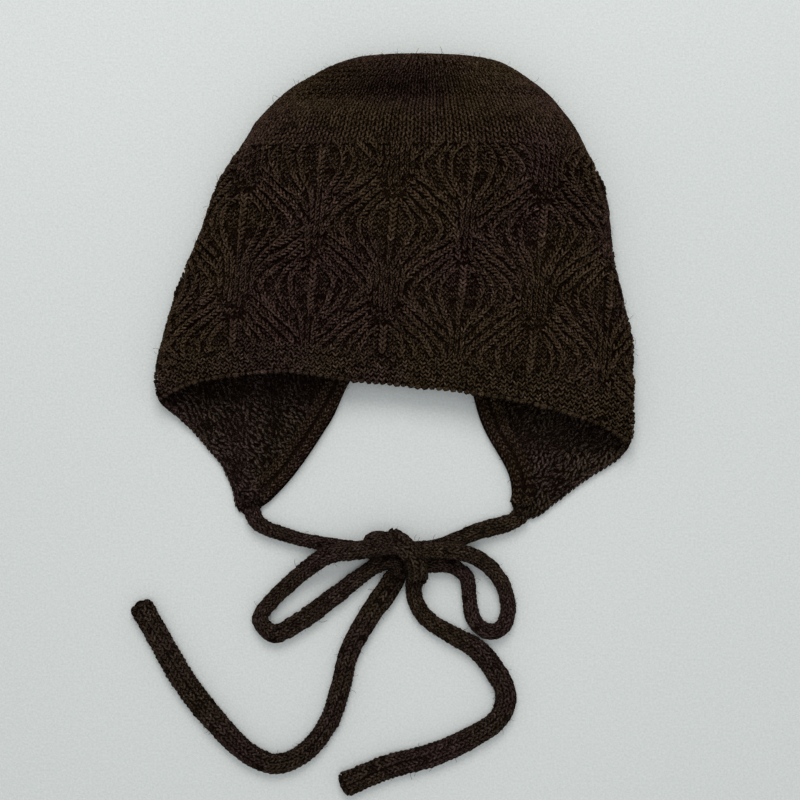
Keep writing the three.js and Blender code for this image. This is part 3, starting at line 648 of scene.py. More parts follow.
def scatter(name, tree, stitches, **values):
    """A plain mesh object with the tree's shape at each stitch."""
    place, normal, along, size, shade = stitches
    count = len(place)
    side = unit(np.cross(along, normal))
    normal = unit(normal)
    along = np.cross(normal, side)
    turn = np.empty((count, 4))
    for i in range(count):
        turn[i] = Matrix((side[i], along[i], normal[i])).transposed().to_quaternion()
    mesh = bpy.data.meshes.new(name)
    mesh.from_pydata((place * MM).tolist(), [], [])
    mesh.attributes.new("turn", "QUATERNION", "POINT").data.foreach_set("value", turn.ravel())
    mesh.attributes.new("size", "FLOAT_VECTOR", "POINT").data.foreach_set("vector", (size * MM).ravel())
    mesh.attributes.new("shade", "FLOAT", "POINT").data.foreach_set("value", np.asarray(shade, float))
    holder = bpy.data.objects.new(name, mesh)
    bpy.context.scene.collection.objects.link(holder)
    modifier = holder.modifiers.new("stitches", "NODES")
    modifier.node_group = tree[0]
    for key, value in values.items():
        modifier[tree[1][key]] = value
    evaluated = holder.evaluated_get(bpy.context.evaluated_depsgraph_get())
    made = bpy.data.meshes.new_from_object(evaluated)
    holder.modifiers.clear()
    holder.data = made
    bpy.data.meshes.remove(mesh)
    for extra in ("turn", "size"):
        if extra in made.attributes:
            made.attributes.remove(made.attributes[extra])
    return holder


def join(name, parts, material):
    """One object from several, all in one material."""
    for part in parts:
        if not len(part.data.materials):
            part.data.materials.append(material)
        # Parts with no stitch shade, the cores, get shade 0, the darkest tone: painted shade between the
        # stitches
        if "shade" not in part.data.attributes:
            part.data.attributes.new("shade", "FLOAT", "POINT")
    with bpy.context.temp_override(
        active_object=parts[0], selected_objects=parts, selected_editable_objects=parts
    ):
        bpy.ops.object.join()
    parts[0].name = name
    parts[0].data.name = name
    return parts[0]


def piece(obj, slot, *nodes):
    """Put a piece on the root body, in place of its solids; the slot is not used."""
    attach(obj, "root")
    if nodes:
        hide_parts(*nodes)


def stack(*groups):
    """Several groups of stitches as one."""
    return tuple(np.concatenate([np.asarray(g[i]) for g in groups]) for i in range(5))


def sizes(count, width, length, height):
    """Stitch sizes with a hand knitter's small unevenness."""
    base = np.column_stack([np.broadcast_to(v, count) for v in (width, length, height)])
    return base * rng.normal(1, 0.05, (count, 3)).clip(0.86, 1.14)


def spaced(points, gap):
    """Places a gap apart along a line of points, the way ahead there and the share of the line passed."""
    reach = lengths_along(points)
    count = int(reach[-1] / gap)
    at = (np.arange(count) + 0.5) * reach[-1] / count
    place = follow(at, reach, points)
    ahead = follow(at + 0.5, reach, points) - place
    return place, unit(ahead + 1e-6), at / reach[-1]


def uneven(count, middle=0.6, spread=0.16):
    """Shades of single stitches round a middle one."""
    return rng.normal(middle, spread, count).clip(0.05, 1.2)


# Camera, floor and light

scene = bpy.context.scene
scene.view_settings.view_transform = "Standard"
scene.view_settings.look = "None"
camera = bpy.data.objects.new("camera", bpy.data.cameras.new("camera"))
camera.data.sensor_width = 36.0
camera.data.lens = 75.0
camera.location = (0.0023, -0.0458, 0.700)
scene.collection.objects.link(camera)
scene.camera = camera

floor_mesh = bpy.data.meshes.new("floor")
FLOOR_CORNERS = [(-1.2, -1.2), (1.2, -1.2), (1.2, 1.2), (-1.2, 1.2)]
FLOOR_TOP = -0.0001
floor_mesh.from_pydata([(x, y, FLOOR_TOP) for x, y in FLOOR_CORNERS], [], [(0, 1, 2, 3)])
floor = bpy.data.objects.new("floor", floor_mesh)
scene.collection.objects.link(floor)
paper, paper_graph, paper_shader, paper_where = start_material("pale floor")
grain = paper_graph.noise(paper_where, 1100.0, 3.0, 0.7)
drift = paper_graph.noise(paper_where, 3.0, 1.0)
paper_tone = paper_graph.mix(
    (grain - 0.5) * 1.6 + 0.25 + drift * 0.5, (0.59, 0.62, 0.605, 1.0), (0.77, 0.795, 0.785, 1.0)
)
paper_graph.set(paper_shader.inputs["Base Color"], paper_tone)
paper_shader.inputs["Roughness"].default_value = 0.75
paper_shader.inputs["Specular IOR Level"].default_value = 0.2
paper_bump = paper_graph.node("ShaderNodeBump", None, {"Strength": 0.25, "Distance": 0.0006, "Height": grain})
paper_graph.set(paper_shader.inputs["Normal"], paper_graph.out(paper_bump, "Normal"))
floor_mesh.materials.append(paper)

world = bpy.data.worlds.new("studio")
world.use_nodes = True
sky = next(n for n in world.node_tree.nodes if n.type == "BACKGROUND")
sky.inputs["Color"].default_value = (0.95, 0.98, 1.0, 1.0)
sky.inputs["Strength"].default_value = 0.48
scene.world = world


def lamp(name, place, target, size, power, colour):
    data = bpy.data.lights.new(name, "AREA")
    data.shape = "DISK"
    data.size = size
    data.energy = power
    data.color = colour
    made = bpy.data.objects.new(name, data)
    made.location = place
    made.rotation_euler = (Vector(target) - Vector(place)).to_track_quat("-Z", "Y").to_euler()
    scene.collection.objects.link(made)


lamp("window", (-0.02, 0.62, 0.8), (0, 0, 0), 0.6, 4.7, (1.0, 0.99, 0.96))
lamp("ceiling", (0.1, -0.2, 1.7), (0, -0.05, 0), 1.5, 6.3, (0.97, 0.99, 1.0))


# Ties: knitted cords, each one strand from the flap's tip through the bow to its loose end

TIE_WALES = 8
TIE_STITCH = 2.1
TIE_LOWEST = 1.25  # lowest middle of a stitch, so that it stays on the floor


def tie(name, route):
    """One cord: its core, its columns of stitches and its bound end."""
    run = spline(route, 0.7)
    centre = run[:, :3]
    tangent = unit(np.gradient(centre, axis=0))
    middle = np.array(KNOT_MIDDLE, float)
    away = centre - middle
    near = np.clip(1.25 - np.linalg.norm(away, axis=1) / KNOT_REACH, 0, 1)[:, None]
    up = unit(near * unit(away) + (1 - near) * UP)
    for _ in range(12):
        up = square_to(up, tangent)
        up[1:-1] = unit(up[:-2] + 2 * up[1:-1] + up[2:])
    up = square_to(up, tangent)
    side = np.cross(tangent, up)
    reach = lengths_along(centre)
    ends = np.minimum(reach + 1.2, reach[-1] - reach)
    close = np.sqrt(np.clip(1 - (1 - np.clip(ends / 3.4, 0, 1)) ** 2, 0.03, 1))
    wide = run[:, 3] * close
    high = run[:, 4] * close
    angle = np.linspace(0, 2 * math.pi, 14, endpoint=False)
    keep = slice(None, None, 2)
    rings = (
        centre[keep, None]
        + 0.8 * wide[keep, None, None] * np.cos(angle)[None, :, None] * side[keep, None]
        + 0.8 * high[keep, None, None] * np.sin(angle)[None, :, None] * up[keep, None]
    )
    core = solid(name + " core", *sweep(rings))
    groups = []
    stitches = int(reach[-1] / TIE_STITCH)
    for wale in range(TIE_WALES):
        at = (np.arange(stitches) + 0.5 + 0.12 * (wale % 2)) * reach[-1] / (stitches + 0.5)
        turn = 2 * math.pi * (wale + 0.5) / TIE_WALES + 0.35 * np.sin(at / 31.0)
        s = unit(follow(at, reach, side))
        u = unit(follow(at, reach, up))
        forward = follow(at, reach, tangent)
        a = np.interp(at, reach, wide)[:, None]
        b = np.interp(at, reach, high)[:, None]
        c = np.cos(turn)[:, None]
        d = np.sin(turn)[:, None]
        normal = unit(c / np.maximum(a, 0.3) * s + d / np.maximum(b, 0.3) * u)
        slope = np.interp(at, reach, np.gradient(wide, reach)).clip(-1.5, 1.5)[:, None]
        ahead = unit(forward + slope * normal)
        normal = unit(normal - slope * forward)
        place = follow(at, reach, centre) + 0.88 * a * c * s + np.where(d < 0, 0.7, 0.82) * b * d * u
        girth_here = 2 * math.pi * np.sqrt((a**2 + b**2) / 2)[:, 0]
        apart = np.linalg.norm(np.gradient(place, axis=0), axis=1).clip(1.3, 4.2)
        tip = np.clip(np.minimum(at + 1.5, reach[-1] - at) / 3.2, 0.3, 1)
        loose = rng.normal(0, 0.1, (3, len(at), 1)) * tip[:, None]
        beside = np.cross(ahead, normal)
        place = place + loose[0] * normal + loose[1] * beside
        place[:, 2] = np.maximum(place[:, 2], TIE_LOWEST)
        # Painted shade in the knot: stitches low and near its middle are darker
        inside = np.clip(1.4 - np.linalg.norm(place[:, :2] - middle[:2], axis=1) / KNOT_REACH, 0, 1)
        knot_shade = 1 - 0.75 * inside * np.clip((10 - place[:, 2]) / 5, 0, 1)
        ahead = unit(ahead + loose[2] * beside)
        groups.append(
            (
                place,
                normal,
                ahead,
                sizes(len(at), girth_here / TIE_WALES, 1.06 * apart * tip, 2.2 * tip),
                # Painted shade on the cords' sides: stitches darker as they face away from up
                uneven(len(at), 0.64, 0.24) * (0.55 + 0.45 * normal[:, 2].clip(0, 1)) * knot_shade,
            )
        )
    stitched = stack(*groups)
    knitted = scatter(name + " stitches", KNIT, stitched, yarn=TIE_WOOL, **TIE_SHAPE)
    spread = np.array([(0, 0)] + [(math.cos(t), math.sin(t)) for t in np.arange(6) * math.pi / 3 + 0.3])
    out = 0.62 * (run[-1, 3] * spread[:, :1] * side[-1] + run[-1, 4] * spread[:, 1:] * up[-1])
    last = centre[-1] + out - (1.3 + 0.6 * np.linalg.norm(spread, axis=1))[:, None] * tangent[-1]
    facing = unit(tangent[-1] + 0.2 * out)
    turned = unit(np.cross(facing, up[-1] + 0.3 * side[-1]))
    knob = (last, facing, turned, sizes(7, 1.9, 2.4, 2.6), uneven(7, 0.5))
    bound = scatter(name + " end", BUMPS, knob, yarn=TIE_WOOL, **BUMP_SHAPE)
    made = join(name, [core, knitted, bound], TIE_WOOL)
    length = float(reach[-1]) * MM
    return made, centre[keep] * MM, length, stitched


left_tie, left_path, left_length, left_stitches = tie("left_tie_cord", LEFT_TIE)
right_tie, right_path, right_length, right_stitches = tie("right_tie_cord", RIGHT_TIE)
piece(left_tie, "tie_knit", "left_tie_lead", "left_tie_loop", "left_tie_tail")
piece(right_tie, "tie_knit", "right_tie_lead", "right_tie_loop", "right_tie_tail", "bow_knot")


# Crown, and the plain rounds between it and the lace

CROWN_WALE = 3.15  # one column of stitches, from the spacing in the photo
CROWN_ROUND = 2.2  # one round, about 0.7 of a column as in any plain knitting


def crown_rows():
    """Heights of the plain rounds, one stitch apart along the middle of the front."""
    y = np.linspace(LACE_TOP, 97.4, 360)
    p = bag(0.0, y)
    run = np.concatenate([[0], np.cumsum(np.hypot(np.diff(p[:, 1]), np.diff(p[:, 2])))])
    return np.interp(np.arange(0.6, run[-1], CROWN_ROUND), run, y)


def crown_stitches():
    """Length round the hat, height, width and column of each plain stitch."""
    places = []
    total = girth[:, -1] - girth[:, 0]
    base = np.interp(-CROWN_LINE, -HEIGHTS, total)
    wales = int(base / CROWN_WALE / 2) * 2
    for y in crown_rows():
        here = np.interp(-y, -HEIGHTS, total)
        first = np.interp(-y, -HEIGHTS, girth[:, 0])
        gap = here / wales
        step = 1 if gap > 0.62 * CROWN_WALE else 2
        wale = np.arange(0, wales, step)
        length = first + (wale + 0.5) * gap
        places.append(np.column_stack([length, np.full(len(wale), y), np.full(len(wale), gap * step), wale]))
    return np.vstack(places)


def dip_shade(place):
    """Painted shade over the crown's top dip: the stitches there are darkened."""
    x, y = place[:, 0], place[:, 1]
    return 1 - 0.5 * np.exp(-(((y - 84) / 9) ** 4)) * np.exp(-(((x + 8) / 38) ** 4))


crown_at = crown_stitches()
crown_turn = turn_at(crown_at[:, 0], crown_at[:, 1])
crown_front = np.abs(crown_turn) < 1.05
above = crown_at[:, 1] > CROWN_LINE


def rounds(chosen, out, high):
    """Plain knit stitches at the chosen places of the crown and the rounds below it."""
    at = crown_at[chosen]
    turn = crown_turn[chosen]
    place, normal, _ = skin(turn, at[:, 1], out)
    ahead = unit(bag(turn, at[:, 1] + 0.8) - bag(turn, at[:, 1] - 0.8))
    count = len(place)
    steep = 1 - normal[:, 2].clip(0, 1)
    streak = 1 + (0.06 + 0.3 * steep) * np.sin(at[:, 3] * 2.4)
    size = sizes(count, at[:, 2] * 1.02, CROWN_ROUND + 0.1 + 1.2 * steep, high)
    # Painted shade over the crown's top dip darkens these stitches
    return place, normal, ahead, size, uneven(count, 0.51, 0.14) * dip_shade(place) * streak


cap_front = rounds(crown_front & above, -0.2, 2.0)
cap_back = rounds(~crown_front & above, -0.6, 0.9)
plain_front = rounds(crown_front & ~above, -0.2, 2.0)
plain_back = rounds(~crown_front & ~above, -0.6, 0.9)


def crown_tip():
    """Stitches drawn together over the closed end of the crown."""
    groups = []
    for share, count in [(0.12, 26), (0.38, 20), (0.62, 14), (0.85, 6)]:
        ring = bag(np.linspace(-2, 2, count, endpoint=False), np.full(count, 97.2))
        to_top = np.array(CROWN_TOP) - ring
        place = ring + to_top * share - [0, 0.3, 0]
        normal = np.tile([0, 1.0, 0], (count, 1))
        groups.append((place, normal, unit(to_top), sizes(count, 2.3, 2.2, 1.6), uneven(count, 0.5)))
    return stack(*groups)


def crown_shell():
    """The wall of the crown, closed over its top."""
    turns = np.linspace(-2, 2, 160, endpoint=False)
    y = np.concatenate([np.linspace(CROWN_LINE - 0.4, 92, 16), np.linspace(93, 97.3, 7)])
    rings = []
    top = np.array([CROWN_TOP])
    for t in turns:
        outer = skin(np.full(len(y), t), y, -0.8 + 0.5 * np.exp(-(((abs(t) - 1) / 0.1) ** 2)))[0]
        inner = skin(np.full(16, t), y[:16], -2.4)[0]
        rings.append(np.vstack([outer, top - [0, 0.3, 0], top - [0, 6, 0], inner[::-1]]))
    return solid("crown wall", *sweep(rings, wrap=True, merge=True))


crown = join(
    "crown_knit",
    [
        crown_shell(),
        scatter("crown front", KNIT, cap_front, yarn=CROWN_WOOL, **CROWN_SHAPE),
        scatter("crown back", KNIT, cap_back, sides=5, yarn=CROWN_WOOL, **V_SHAPE),
        scatter("crown tip", KNIT, crown_tip(), sides=5, yarn=CROWN_WOOL, **V_SHAPE),
    ],
    CROWN_WOOL,
)
piece(crown, "crown_knit", "crown")


# Lace body

def rib_chain(points, gap):
    """Places and directions every gap along one rib of the chart."""
    run = spline([(x, y, 0) for x, y in points], 0.25)[:, :2]
    length = lengths_along(run)
    at = (np.arange(int(length[-1] / gap)) + 0.5) * gap
    place = follow(at, length, run)
    return place, place - follow(at + 0.3, length, run) + 1e-6


def chart_repeats():
    """Column of each repeat of the chart round the hat, and the height of its node."""
    for column in range(-8, 9):
        for repeat in range(-1, 4):
            yield column, LACE["node"] - LACE["repeat"] * (repeat + 0.5 * (column % 2))


def chart_place(column, across, high):
    """Length round the hat and height of a place on the chart."""
    axis = LACE["middle"] + LACE["pitch"] * column
    x = (axis + across + LACE["lean"] * high) / (1 + LACE["lean"] * LACE["tilt"])
    return x, high - LACE["tilt"] * x


def lace_layout():
    """Knit stitches of the whole lace, as lengths round the hat and heights, with their directions."""
    spots = []
    for column, node in chart_repeats():
        ribs = NARROW_STEM_RIBS if column % 2 else WIDE_STEM_RIBS
        for number, rib in enumerate([CENTRE_RIB, *ribs]):
            place, ahead = rib_chain(rib, STITCH["pitch"])
            for mirror in [1] if number == 0 else [1, -1]:
                x, y = chart_place(column, place[:, 0] * mirror, node - place[:, 1])
                sway = LACE["sway"] * (0.2 if number == 0 else 1.0)
                x, y = (
                    x + sway * np.sin(y / 1.9 + 1.4 * np.sin(x / 3.7)),
                    y + sway * np.sin(x / 1.7 + 1.4 * np.sin(y / 4.1)),
                )
                foot = 19 if number == 0 else 29
                stem = np.clip((place[:, 1] - foot) / 5, 0, 1) if number < 4 else 0 * x
                strong = RIB_RISES[number] * (1 - stem) * np.clip((LACE_TOP + 1 - y) / 8, 0.12, 1)
                width = RIB_WIDTHS[number] + (STEM_WIDTH - RIB_WIDTHS[number]) * stem
                spots.append(np.column_stack([x, y, ahead[:, 0] * mirror, -ahead[:, 1], strong, width]))
    spots = np.vstack(spots)
    ragged = LACE_TOP + 1.2 * np.sin(spots[:, 0] / 2.2)
    inside = (np.abs(spots[:, 0]) < 215) & (spots[:, 1] < ragged) & (spots[:, 1] > -60)
    return spots[inside]


def lace_holes():
    """Places of the holes, as lengths round the hat and heights."""
    places = []
    for column, node in chart_repeats():
        for across, below in HOLES:
            for mirror in (1, -1):
                places.append(chart_place(column, across * mirror, node - below))
    return np.array(places)


def on_body(length, y):
    """Places round the hat, and which of them lie on the lace body."""
    turn = turn_at(length, y)
    down = share_down(turn, y)
    keep = (down > 0.006) & (down < BAND_LINE - 0.006) & (np.abs(turn) < 1.995)
    return turn, keep


def nearest(places, others):
    """Distance from each place to the nearest of the others."""
    gaps = []
    for start in range(0, len(places), 500):
        apart = places[start : start + 500, None, :2] - others[None, :, :2]
        gaps.append(np.min(np.hypot(apart[..., 0], apart[..., 1]), axis=1))
    return np.concatenate(gaps)


def lace_stitches():
    """Stitches of the ribs with none too close to another, and those of the ground between them."""
    spots = lace_layout()
    kept = []
    grid = {}
    for i, (x, y) in enumerate(spots[:, :2]):
        cell = (int(x // 2), int(y // 2))
        near = [j for a in (-1, 0, 1) for b in (-1, 0, 1) for j in grid.get((cell[0] + a, cell[1] + b), [])]
        if any(math.hypot(x - spots[j, 0], y - spots[j, 1]) < 1.35 for j in near):
            continue
        grid.setdefault(cell, []).append(i)
        kept.append(i)
    spots = spots[kept]
    turn, keep = on_body(spots[:, 0], spots[:, 1])
    spots = spots[keep]
    turn = turn[keep]
    front = np.abs(turn) < 1.06
    ground = []
    for y in np.arange(-60, LACE_TOP + 0.9, 1.7):
        x = np.arange(-210, 210, 2.0) + LACE["lean"] * y + rng.normal(0, 0.15, 210)
        ground.append(np.column_stack([x, y + rng.normal(0, 0.15, 210)]))
    ground = np.vstack(ground)
    clear = (nearest(ground, spots[:, :2]) > 1.55) & (nearest(ground, lace_holes()) > STITCH["hole"])
    ground = ground[clear]
    ground_turn, keep = on_body(ground[:, 0], ground[:, 1])
    return spots, turn, front, ground[keep], ground_turn[keep]


spots, spot_turn, spot_front, ground, ground_turn = lace_stitches()


def knit_on(spots, turn, out, height):
    """Rib stitches on the hat's skin, each a little out of line."""
    place, normal, up = skin(turn, spots[:, 1], out)
    right = np.cross(up, normal)
    count = len(turn)
    along = unit(spots[:, 2:3] * right + spots[:, 3:4] * up)
    beside = np.cross(along, normal)
    place = place + beside * rng.normal(0, 0.13, (count, 1)) + normal * rng.normal(0, 0.1, (count, 1))
    along = unit(along + beside * rng.normal(0, 0.13, (count, 1)))
    size = sizes(count, spots[:, 5], STITCH["pitch"], height)
    # Ribs are painted lighter by their rise, a painted highlight on the raised ribs
    return place, normal, along, size, uneven(count, 0.45, 0.19) + 0.14 * spots[:, 4]


def ground_on(ground, turn, out, height):
    """Ground stitches on the hat's skin, each at its own slight slant."""
    place, normal, up = skin(turn, ground[:, 1], out)
    count = len(turn)
    slant = rng.normal(0, 0.15, (count, 1))
    along = np.cos(slant) * up + np.sin(slant) * np.cross(up, normal)
    return place, normal, along, sizes(count, 2.0, 1.75, height), uneven(count, 0.4, 0.18)


in_stem = spots[:, 4] < 0.05
front_ribs = spot_front & ~in_stem
front_stem = spot_front & in_stem
front_knit = knit_on(spots[front_ribs], spot_turn[front_ribs], -0.3 + 0.55 * spots[front_ribs, 4], 2.0)
stem_knit = knit_on(spots[front_stem], spot_turn[front_stem], -0.1, 2.0)
ground_front = np.abs(ground_turn) < 1.06
front_ground = ground_on(ground[ground_front], ground_turn[ground_front], -0.55, 1.6)
lace_front = join(
    "lace_front_knit",
    [
        scatter("front ribs", KNIT, front_knit, yarn=LACE_WOOL, **V_SHAPE),
        scatter("front stems", KNIT, stem_knit, yarn=LACE_WOOL, **WALE_SHAPE),
        scatter("front rounds", KNIT, plain_front, yarn=LACE_WOOL, **CROWN_SHAPE),
        scatter("front ground", KNIT, front_ground, sides=5, yarn=LACE_WOOL, **PLAIN_SHAPE),
    ],
    LACE_WOOL,
)
piece(lace_front, "lace_knit", "lace_body")

back_knit = knit_on(spots[~spot_front], spot_turn[~spot_front], -0.55, 1.0)
back_ground = ground_on(ground[~ground_front], ground_turn[~ground_front], -0.8, 0.8)


def body_shell(name, shares, thick, sink):
    """The wall of the bag between two heights, closed all round."""
    turns = np.linspace(-2, 2, 200, endpoint=False)
    front, across = around(turns)
    low = np.where(front, front_edge(across), CROWN_LINE + (back_edge(across) - CROWN_LINE) / BAND_LINE)
    rings = []
    for t, edge in zip(turns, low):
        y = CROWN_LINE + shares * (edge - CROWN_LINE)
        at_fold = math.exp(-(((abs(t) - 1) / 0.1) ** 2))
        outer = skin(np.full(len(y), t), y, -sink + 0.78 * at_fold)[0]
        inner = skin(np.full(len(y), t), y, -thick)[0]
        rings.append(np.vstack([outer, inner[::-1]]))
    return solid(name, *sweep(rings, wrap=True))


lace_wall = body_shell("lace wall", np.linspace(-0.004, BAND_LINE + 0.012, 34), 2.5, 0.85)
lace_back = join(
    "lace_back_knit",
    [
        lace_wall,
        scatter("back ribs", KNIT, back_knit, sides=5, yarn=LACE_WOOL, **V_SHAPE),
        scatter("back rounds", KNIT, plain_back, sides=5, yarn=LACE_WOOL, **CROWN_SHAPE),
        scatter("back ground", KNIT, back_ground, sides=5, yarn=LACE_WOOL, **PLAIN_SHAPE),
    ],
    LACE_WOOL,
)
piece(lace_back, "lace_knit", "lace_body")


# Front hem band

HEM_STITCH = 2.4
HEM_POINT_GAP = 2.9


def front_row(down, gap):
    """Places along the front, a gap apart, at one share of the way down."""
    turns = np.linspace(-1, 1, 400)
    across = around(turns)[1]
    y = CROWN_LINE + down * (front_edge(across) - CROWN_LINE)
    p = bag(turns, y)
    run = lengths_along(p)
    count = int(run[-1] / gap)
    at = (np.arange(count) + 0.5) * run[-1] / count
    return np.interp(at, run, turns), np.interp(at, run, y), run[-1] / count


hem_groups = []
for number, down in enumerate(np.linspace(BAND_LINE - 0.002, 0.976, 7)):
    turn, y, gap = front_row(down, HEM_STITCH)
    place, normal, up = skin(turn, y, 0.1 + 0.3 * min(number, 1))
    count = len(turn)
    across = np.cross(up, normal)
    place = place + up * rng.normal(0, 0.18, (count, 1)) + across * rng.normal(0, 0.2, (count, 1))
    up = unit(up + across * rng.normal(0, 0.22, (count, 1)))
    hem_groups.append((place, normal, up, sizes(count, gap, 1.75, 2.2), uneven(count, 0.56, 0.24)))
turn, y, gap = front_row(0.985, HEM_POINT_GAP)
place, normal, up = skin(turn, y, -0.5)
count = len(turn)
place = place - up * rng.normal(0.75, 0.09, (count, 1))
along = unit(np.cross(up, normal) + up * rng.normal(0.12, 0.1, (count, 1)))
size = sizes(count, 2.6, 3.3, 2.7) * rng.normal(1, 0.1, (count, 1))
picots = (place, normal, along, size, uneven(count, 0.47, 0.2))

hem_turns = np.linspace(-0.998, 0.998, 150)
HEM_SECTION = [
    (BAND_LINE + 0.002, -2.6), (BAND_LINE + 0.004, -0.7), (0.9, -0.45), (0.965, -0.5), (0.99, -1.2),
    (0.995, -1.9), (0.99, -2.6), (0.97, -3.4), (0.91, -3.4),
]
hem_rings = []
for t in hem_turns:
    edge = front_edge(around(t)[1])
    ring = [skin(t, CROWN_LINE + down * (edge - CROWN_LINE), out)[0] for down, out in HEM_SECTION]
    hem_rings.append(np.array(ring))
hem_core = solid("hem core", *sweep(hem_rings))
front_hem = join(
    "front_hem_knit",
    [
        hem_core,
        scatter("hem stitches", KNIT, stack(*hem_groups), yarn=HEM_WOOL, **PLAIN_SHAPE),
        scatter("hem picots", BUMPS, picots, yarn=HEM_WOOL, **BUMP_SHAPE),
    ],
    HEM_WOOL,
)
piece(front_hem, "hem_knit", "front_hem_band")


# Ear flaps

def flap_point(edges, share, along, height):
    """A place on a flap: share from outer to inner edge, way along from root to tip, height in it."""
    outer = np.stack([edges[0](along), edges[1](along)], axis=-1)
    inner = np.stack([edges[2](along), edges[3](along)], axis=-1)
    late = np.clip((np.asarray(along) - 0.9) / 0.1, 0, 0.96)
    share = 0.55 + (np.asarray(share) - 0.55) * np.sqrt(1 - late**2)
    place = outer + (inner - outer) * share[..., None]
    from_edge = np.linalg.norm(place - outer, axis=-1)
    near = np.clip(1 - from_edge / FLAP_CURL["reach"], 0, 1)
    lift = FLAP_CURL["height"] * near**2 * np.clip(1 - np.asarray(along) / FLAP_CURL["rows"], 0, 1)
    return np.concatenate([place, (lift + height)[..., None]], axis=-1)


def flap(name, table, corner, slant_to, painted_lightness, node):
    """One flap, with painted shade above the height of the front hem's corner beside it."""
    rows = [(i / (len(table) - 1), *row) for i, row in enumerate(table)]
    edges = [curve(rows, c) for c in range(1, 5)]
    alongs = np.linspace(0, 1, 40)
    shares = np.linspace(0, 1, 26)
    rings = []
    for a in alongs:
        flat = np.full(len(shares), a)
        top = flap_point(edges, shares, flat, np.full(len(shares), FLAP_WALL - 0.35))
        low = flap_point(edges, shares, flat, np.full(len(shares), 0.5))
        rings.append(np.vstack([top, low[::-1]]))
    core = solid(name + " core", *sweep(rings))
    upper = []
    lower = []
    middle = flap_point(edges, np.full(200, 0.5), np.linspace(0, 1, 200), np.zeros(200))
    run = lengths_along(middle)
    row_at = np.interp(np.arange(1.0, run[-1], 1.6), run, np.linspace(0, 1, 200))
    for number, a in enumerate(row_at):
        ends = flap_point(edges, np.array([0.0, 1.0]), np.array([a, a]), np.zeros(2))
        width = np.linalg.norm(ends[1] - ends[0])
        count = max(3, int(width / 1.85))
        share = (np.arange(count) + 0.5 * (number % 2) + 0.25) / count
        share = (share + rng.normal(0, 0.5, count) / width).clip(1.4 / width, 1 - 2.8 / width)
        flat = np.full(count, a)
        across = unit(np.tile(ends[1] - ends[0], (count, 1)))
        normal = np.tile(UP, (count, 1))
        place = flap_point(edges, share, flat, np.zeros(count))
        x, y, _ = place.T
        wave = np.sin(x / 4.6 + y / 6.1) * np.sin(x / 4.9 - y / 5.3 + 1)
        # Painted shade: stitches above the front hem's corner height, and under and beside the nape hem, are
        # darker; all darken a little towards the tip
        below = np.clip((corner - y) / 5.5, 0, 1)
        from_hem = ((1 - share) * width - 9.3).clip(0, 2.6) / 2.6
        painted_shade = (0.35 + 0.65 * below) * (1 - 0.35 * a**2) * (0.35 + 0.65 * from_hem)
        place[:, 1] += rng.normal(0, 0.35, count)
        place[:, 2] += FLAP_WALL - 0.35 + 0.6 * wave
        slant = math.atan2(slant_to[1], slant_to[0]) + 0.5 * wave + rng.normal(0, 0.35, count)
        turned = np.column_stack([np.cos(slant), np.sin(slant), np.zeros(count)])
        size = sizes(count, 1.2, 2.8, 1.8)
        # Ripple crests painted lighter and troughs darker, painted light and shade
        upper.append((place, normal, turned, size, (uneven(count, painted_lightness, 0.26) + 0.32 * wave) * painted_shade))
        inner = 0.03 + 0.94 * share
        place = flap_point(edges, inner, flat, np.full(count, 0.55))
        along = np.cross(across, normal)
        held = inner * width < width - 3.2
        size = sizes(held.sum(), 2.2, 1.8, 0.9)
        lower.append((place[held], -normal[held], along[held], size, uneven(held.sum(), 0.5)))
    edge_run = flap_point(edges, np.full(300, 0.022), np.linspace(0.12, 1, 300), np.full(300, 1.8))
    place, ahead, at = spaced(edge_run, 2.3)
    count = len(at)
    small = 1 - 0.4 * at**3
    size = sizes(count, 2.6 * small, 2.3, 2.4 * small)
    edge = (place, np.tile(UP, (count, 1)), ahead, size, uneven(count, 0.5))
    wall_run = flap_point(edges, np.full(200, 0.004), np.linspace(0, 0.9, 200), np.full(200, 1.35))
    place, ahead, at = spaced(wall_run, 2.1)
    count = len(at)
    outward = unit(np.cross(ahead, UP)) * np.sign(table[0][2] - table[0][0])
    wall = (place, outward, ahead, sizes(count, 2.4, 2.2, 1.2), uneven(count, 0.5))
    upper = stack(*upper)
    made = join(
        name,
        [
            core,
            scatter(name + " inside", BUMPS, upper, yarn=FLAP_WOOL, **BUMP_SHAPE),
            scatter(name + " outside", KNIT, stack(*lower), sides=5, yarn=FLAP_WOOL, **V_SHAPE),
            scatter(name + " edge", KNIT, stack(edge, wall), yarn=FLAP_WOOL, **V_SHAPE),
        ],
        FLAP_WOOL,
    )
    piece(made, "flap_knit", node)
    return upper


# The right flap's stitches get a lighter middle tone, painted light against the shade the lamps and front hem
# leave on it
left_inside = flap("left_flap_knit", LEFT_FLAP, FRONT_EDGE[0][1], (0.6, -0.8), 0.6, "left_ear_flap")
right_inside = flap("right_flap_knit", RIGHT_FLAP, FRONT_EDGE[-1][1], (-0.6, -0.8), 0.82, "right_ear_flap")


# Nape hem

NAPE_STITCH = 2.15
nape_run = spline([(x, y, 0) for x, y in NAPE_EDGE], 1.0)
nape_tangent = unit(np.gradient(nape_run, axis=0))
nape_inward = np.stack([-nape_tangent[:, 1], nape_tangent[:, 0], np.zeros(len(nape_run))], axis=-1)
nape_length = lengths_along(nape_run)


def sunk(height, at):
    """Height of the hem, falling to the flap over its last few millimetres."""
    return 2.4 + (height - 2.4) * np.clip(np.minimum(at, nape_length[-1] - at) / 7, 0.2, 1)


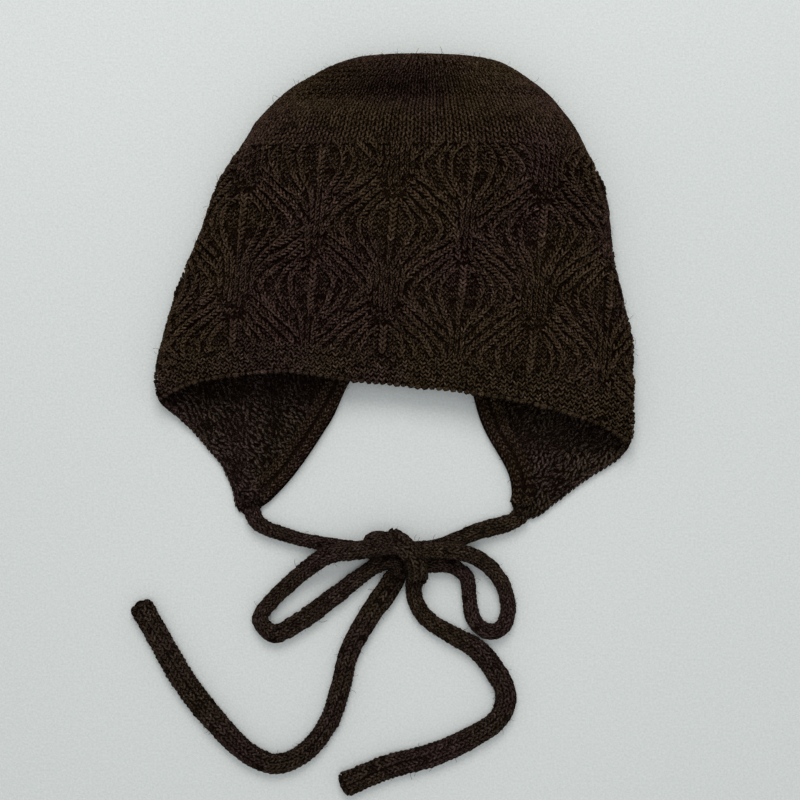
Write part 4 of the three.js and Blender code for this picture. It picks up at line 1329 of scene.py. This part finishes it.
nape_rings = []
for p, inward, at in zip(nape_run, nape_inward, nape_length):
    ring = [p + inward * d + sunk(z - 0.5, at) * UP for d, z in NAPE_SECTION]
    nape_rings.append(np.array(ring))
nape_core = solid("nape core", *sweep(nape_rings))
nape_groups = []
for inward_by, high, tip in [(1.2, 4.3, -0.4), (3.1, 4.7, 0.45), (6.7, 4.7, -0.4), (8.5, 4.2, 0.5)]:
    count = int(nape_length[-1] / NAPE_STITCH)
    at = (np.arange(count) + 0.5) * nape_length[-1] / count
    p = follow(at, nape_length, nape_run)
    inward = unit(follow(at, nape_length, nape_inward))
    place = p + inward * inward_by + np.outer(sunk(high, at), UP)
    normal = unit(UP + inward * tip)
    along = np.cross(inward, UP)
    nape_groups.append((place, normal, along, sizes(count, 2.2, 2.1, 1.9), uneven(count, 0.5)))
nape_stitches = stack(*nape_groups)
nape_hem = join(
    "nape_hem_knit",
    [nape_core, scatter("nape stitches", KNIT, nape_stitches, yarn=HEM_WOOL, **PLAIN_SHAPE)],
    HEM_WOOL,
)
piece(nape_hem, "hem_knit", "nape_hem")


# Loose fibres that stand off the wool

def fibres(groups, count):
    """Fibres that start at stitches of these groups, none reaching down to the floor."""
    place, normal, _, _, _ = stack(*groups)
    chosen = rng.integers(0, len(place), count)
    lean = unit(normal[chosen] + rng.normal(0, 0.55, (count, 3)))
    other = unit(np.cross(lean, rng.normal(0, 1, (count, 3))))
    length = rng.gamma(4.0, 0.38, count).clip(0.5, 3.6)
    size = np.column_stack([length, length, length])
    start = place[chosen] + rng.normal(0, 0.5, (count, 3))
    keep = np.minimum(start[:, 2], start[:, 2] + lean[:, 2] * length) > 0.3 + 0.45 * length
    return start[keep], lean[keep], other[keep], size[keep], uneven(count, 0.6)[keep]


hat_fibres = fibres(
    [front_knit, stem_knit, front_ground, cap_front, *hem_groups, left_inside, right_inside, nape_stitches],
    6000,
)
tie_fibres = fibres([left_stitches, right_stitches], 2300)
halo = scatter("loose_fibres", FIBRES, stack(hat_fibres, tie_fibres), bend=0.55, radius=0.024, yarn=FUZZ_WOOL)
piece(halo, "lace_knit")
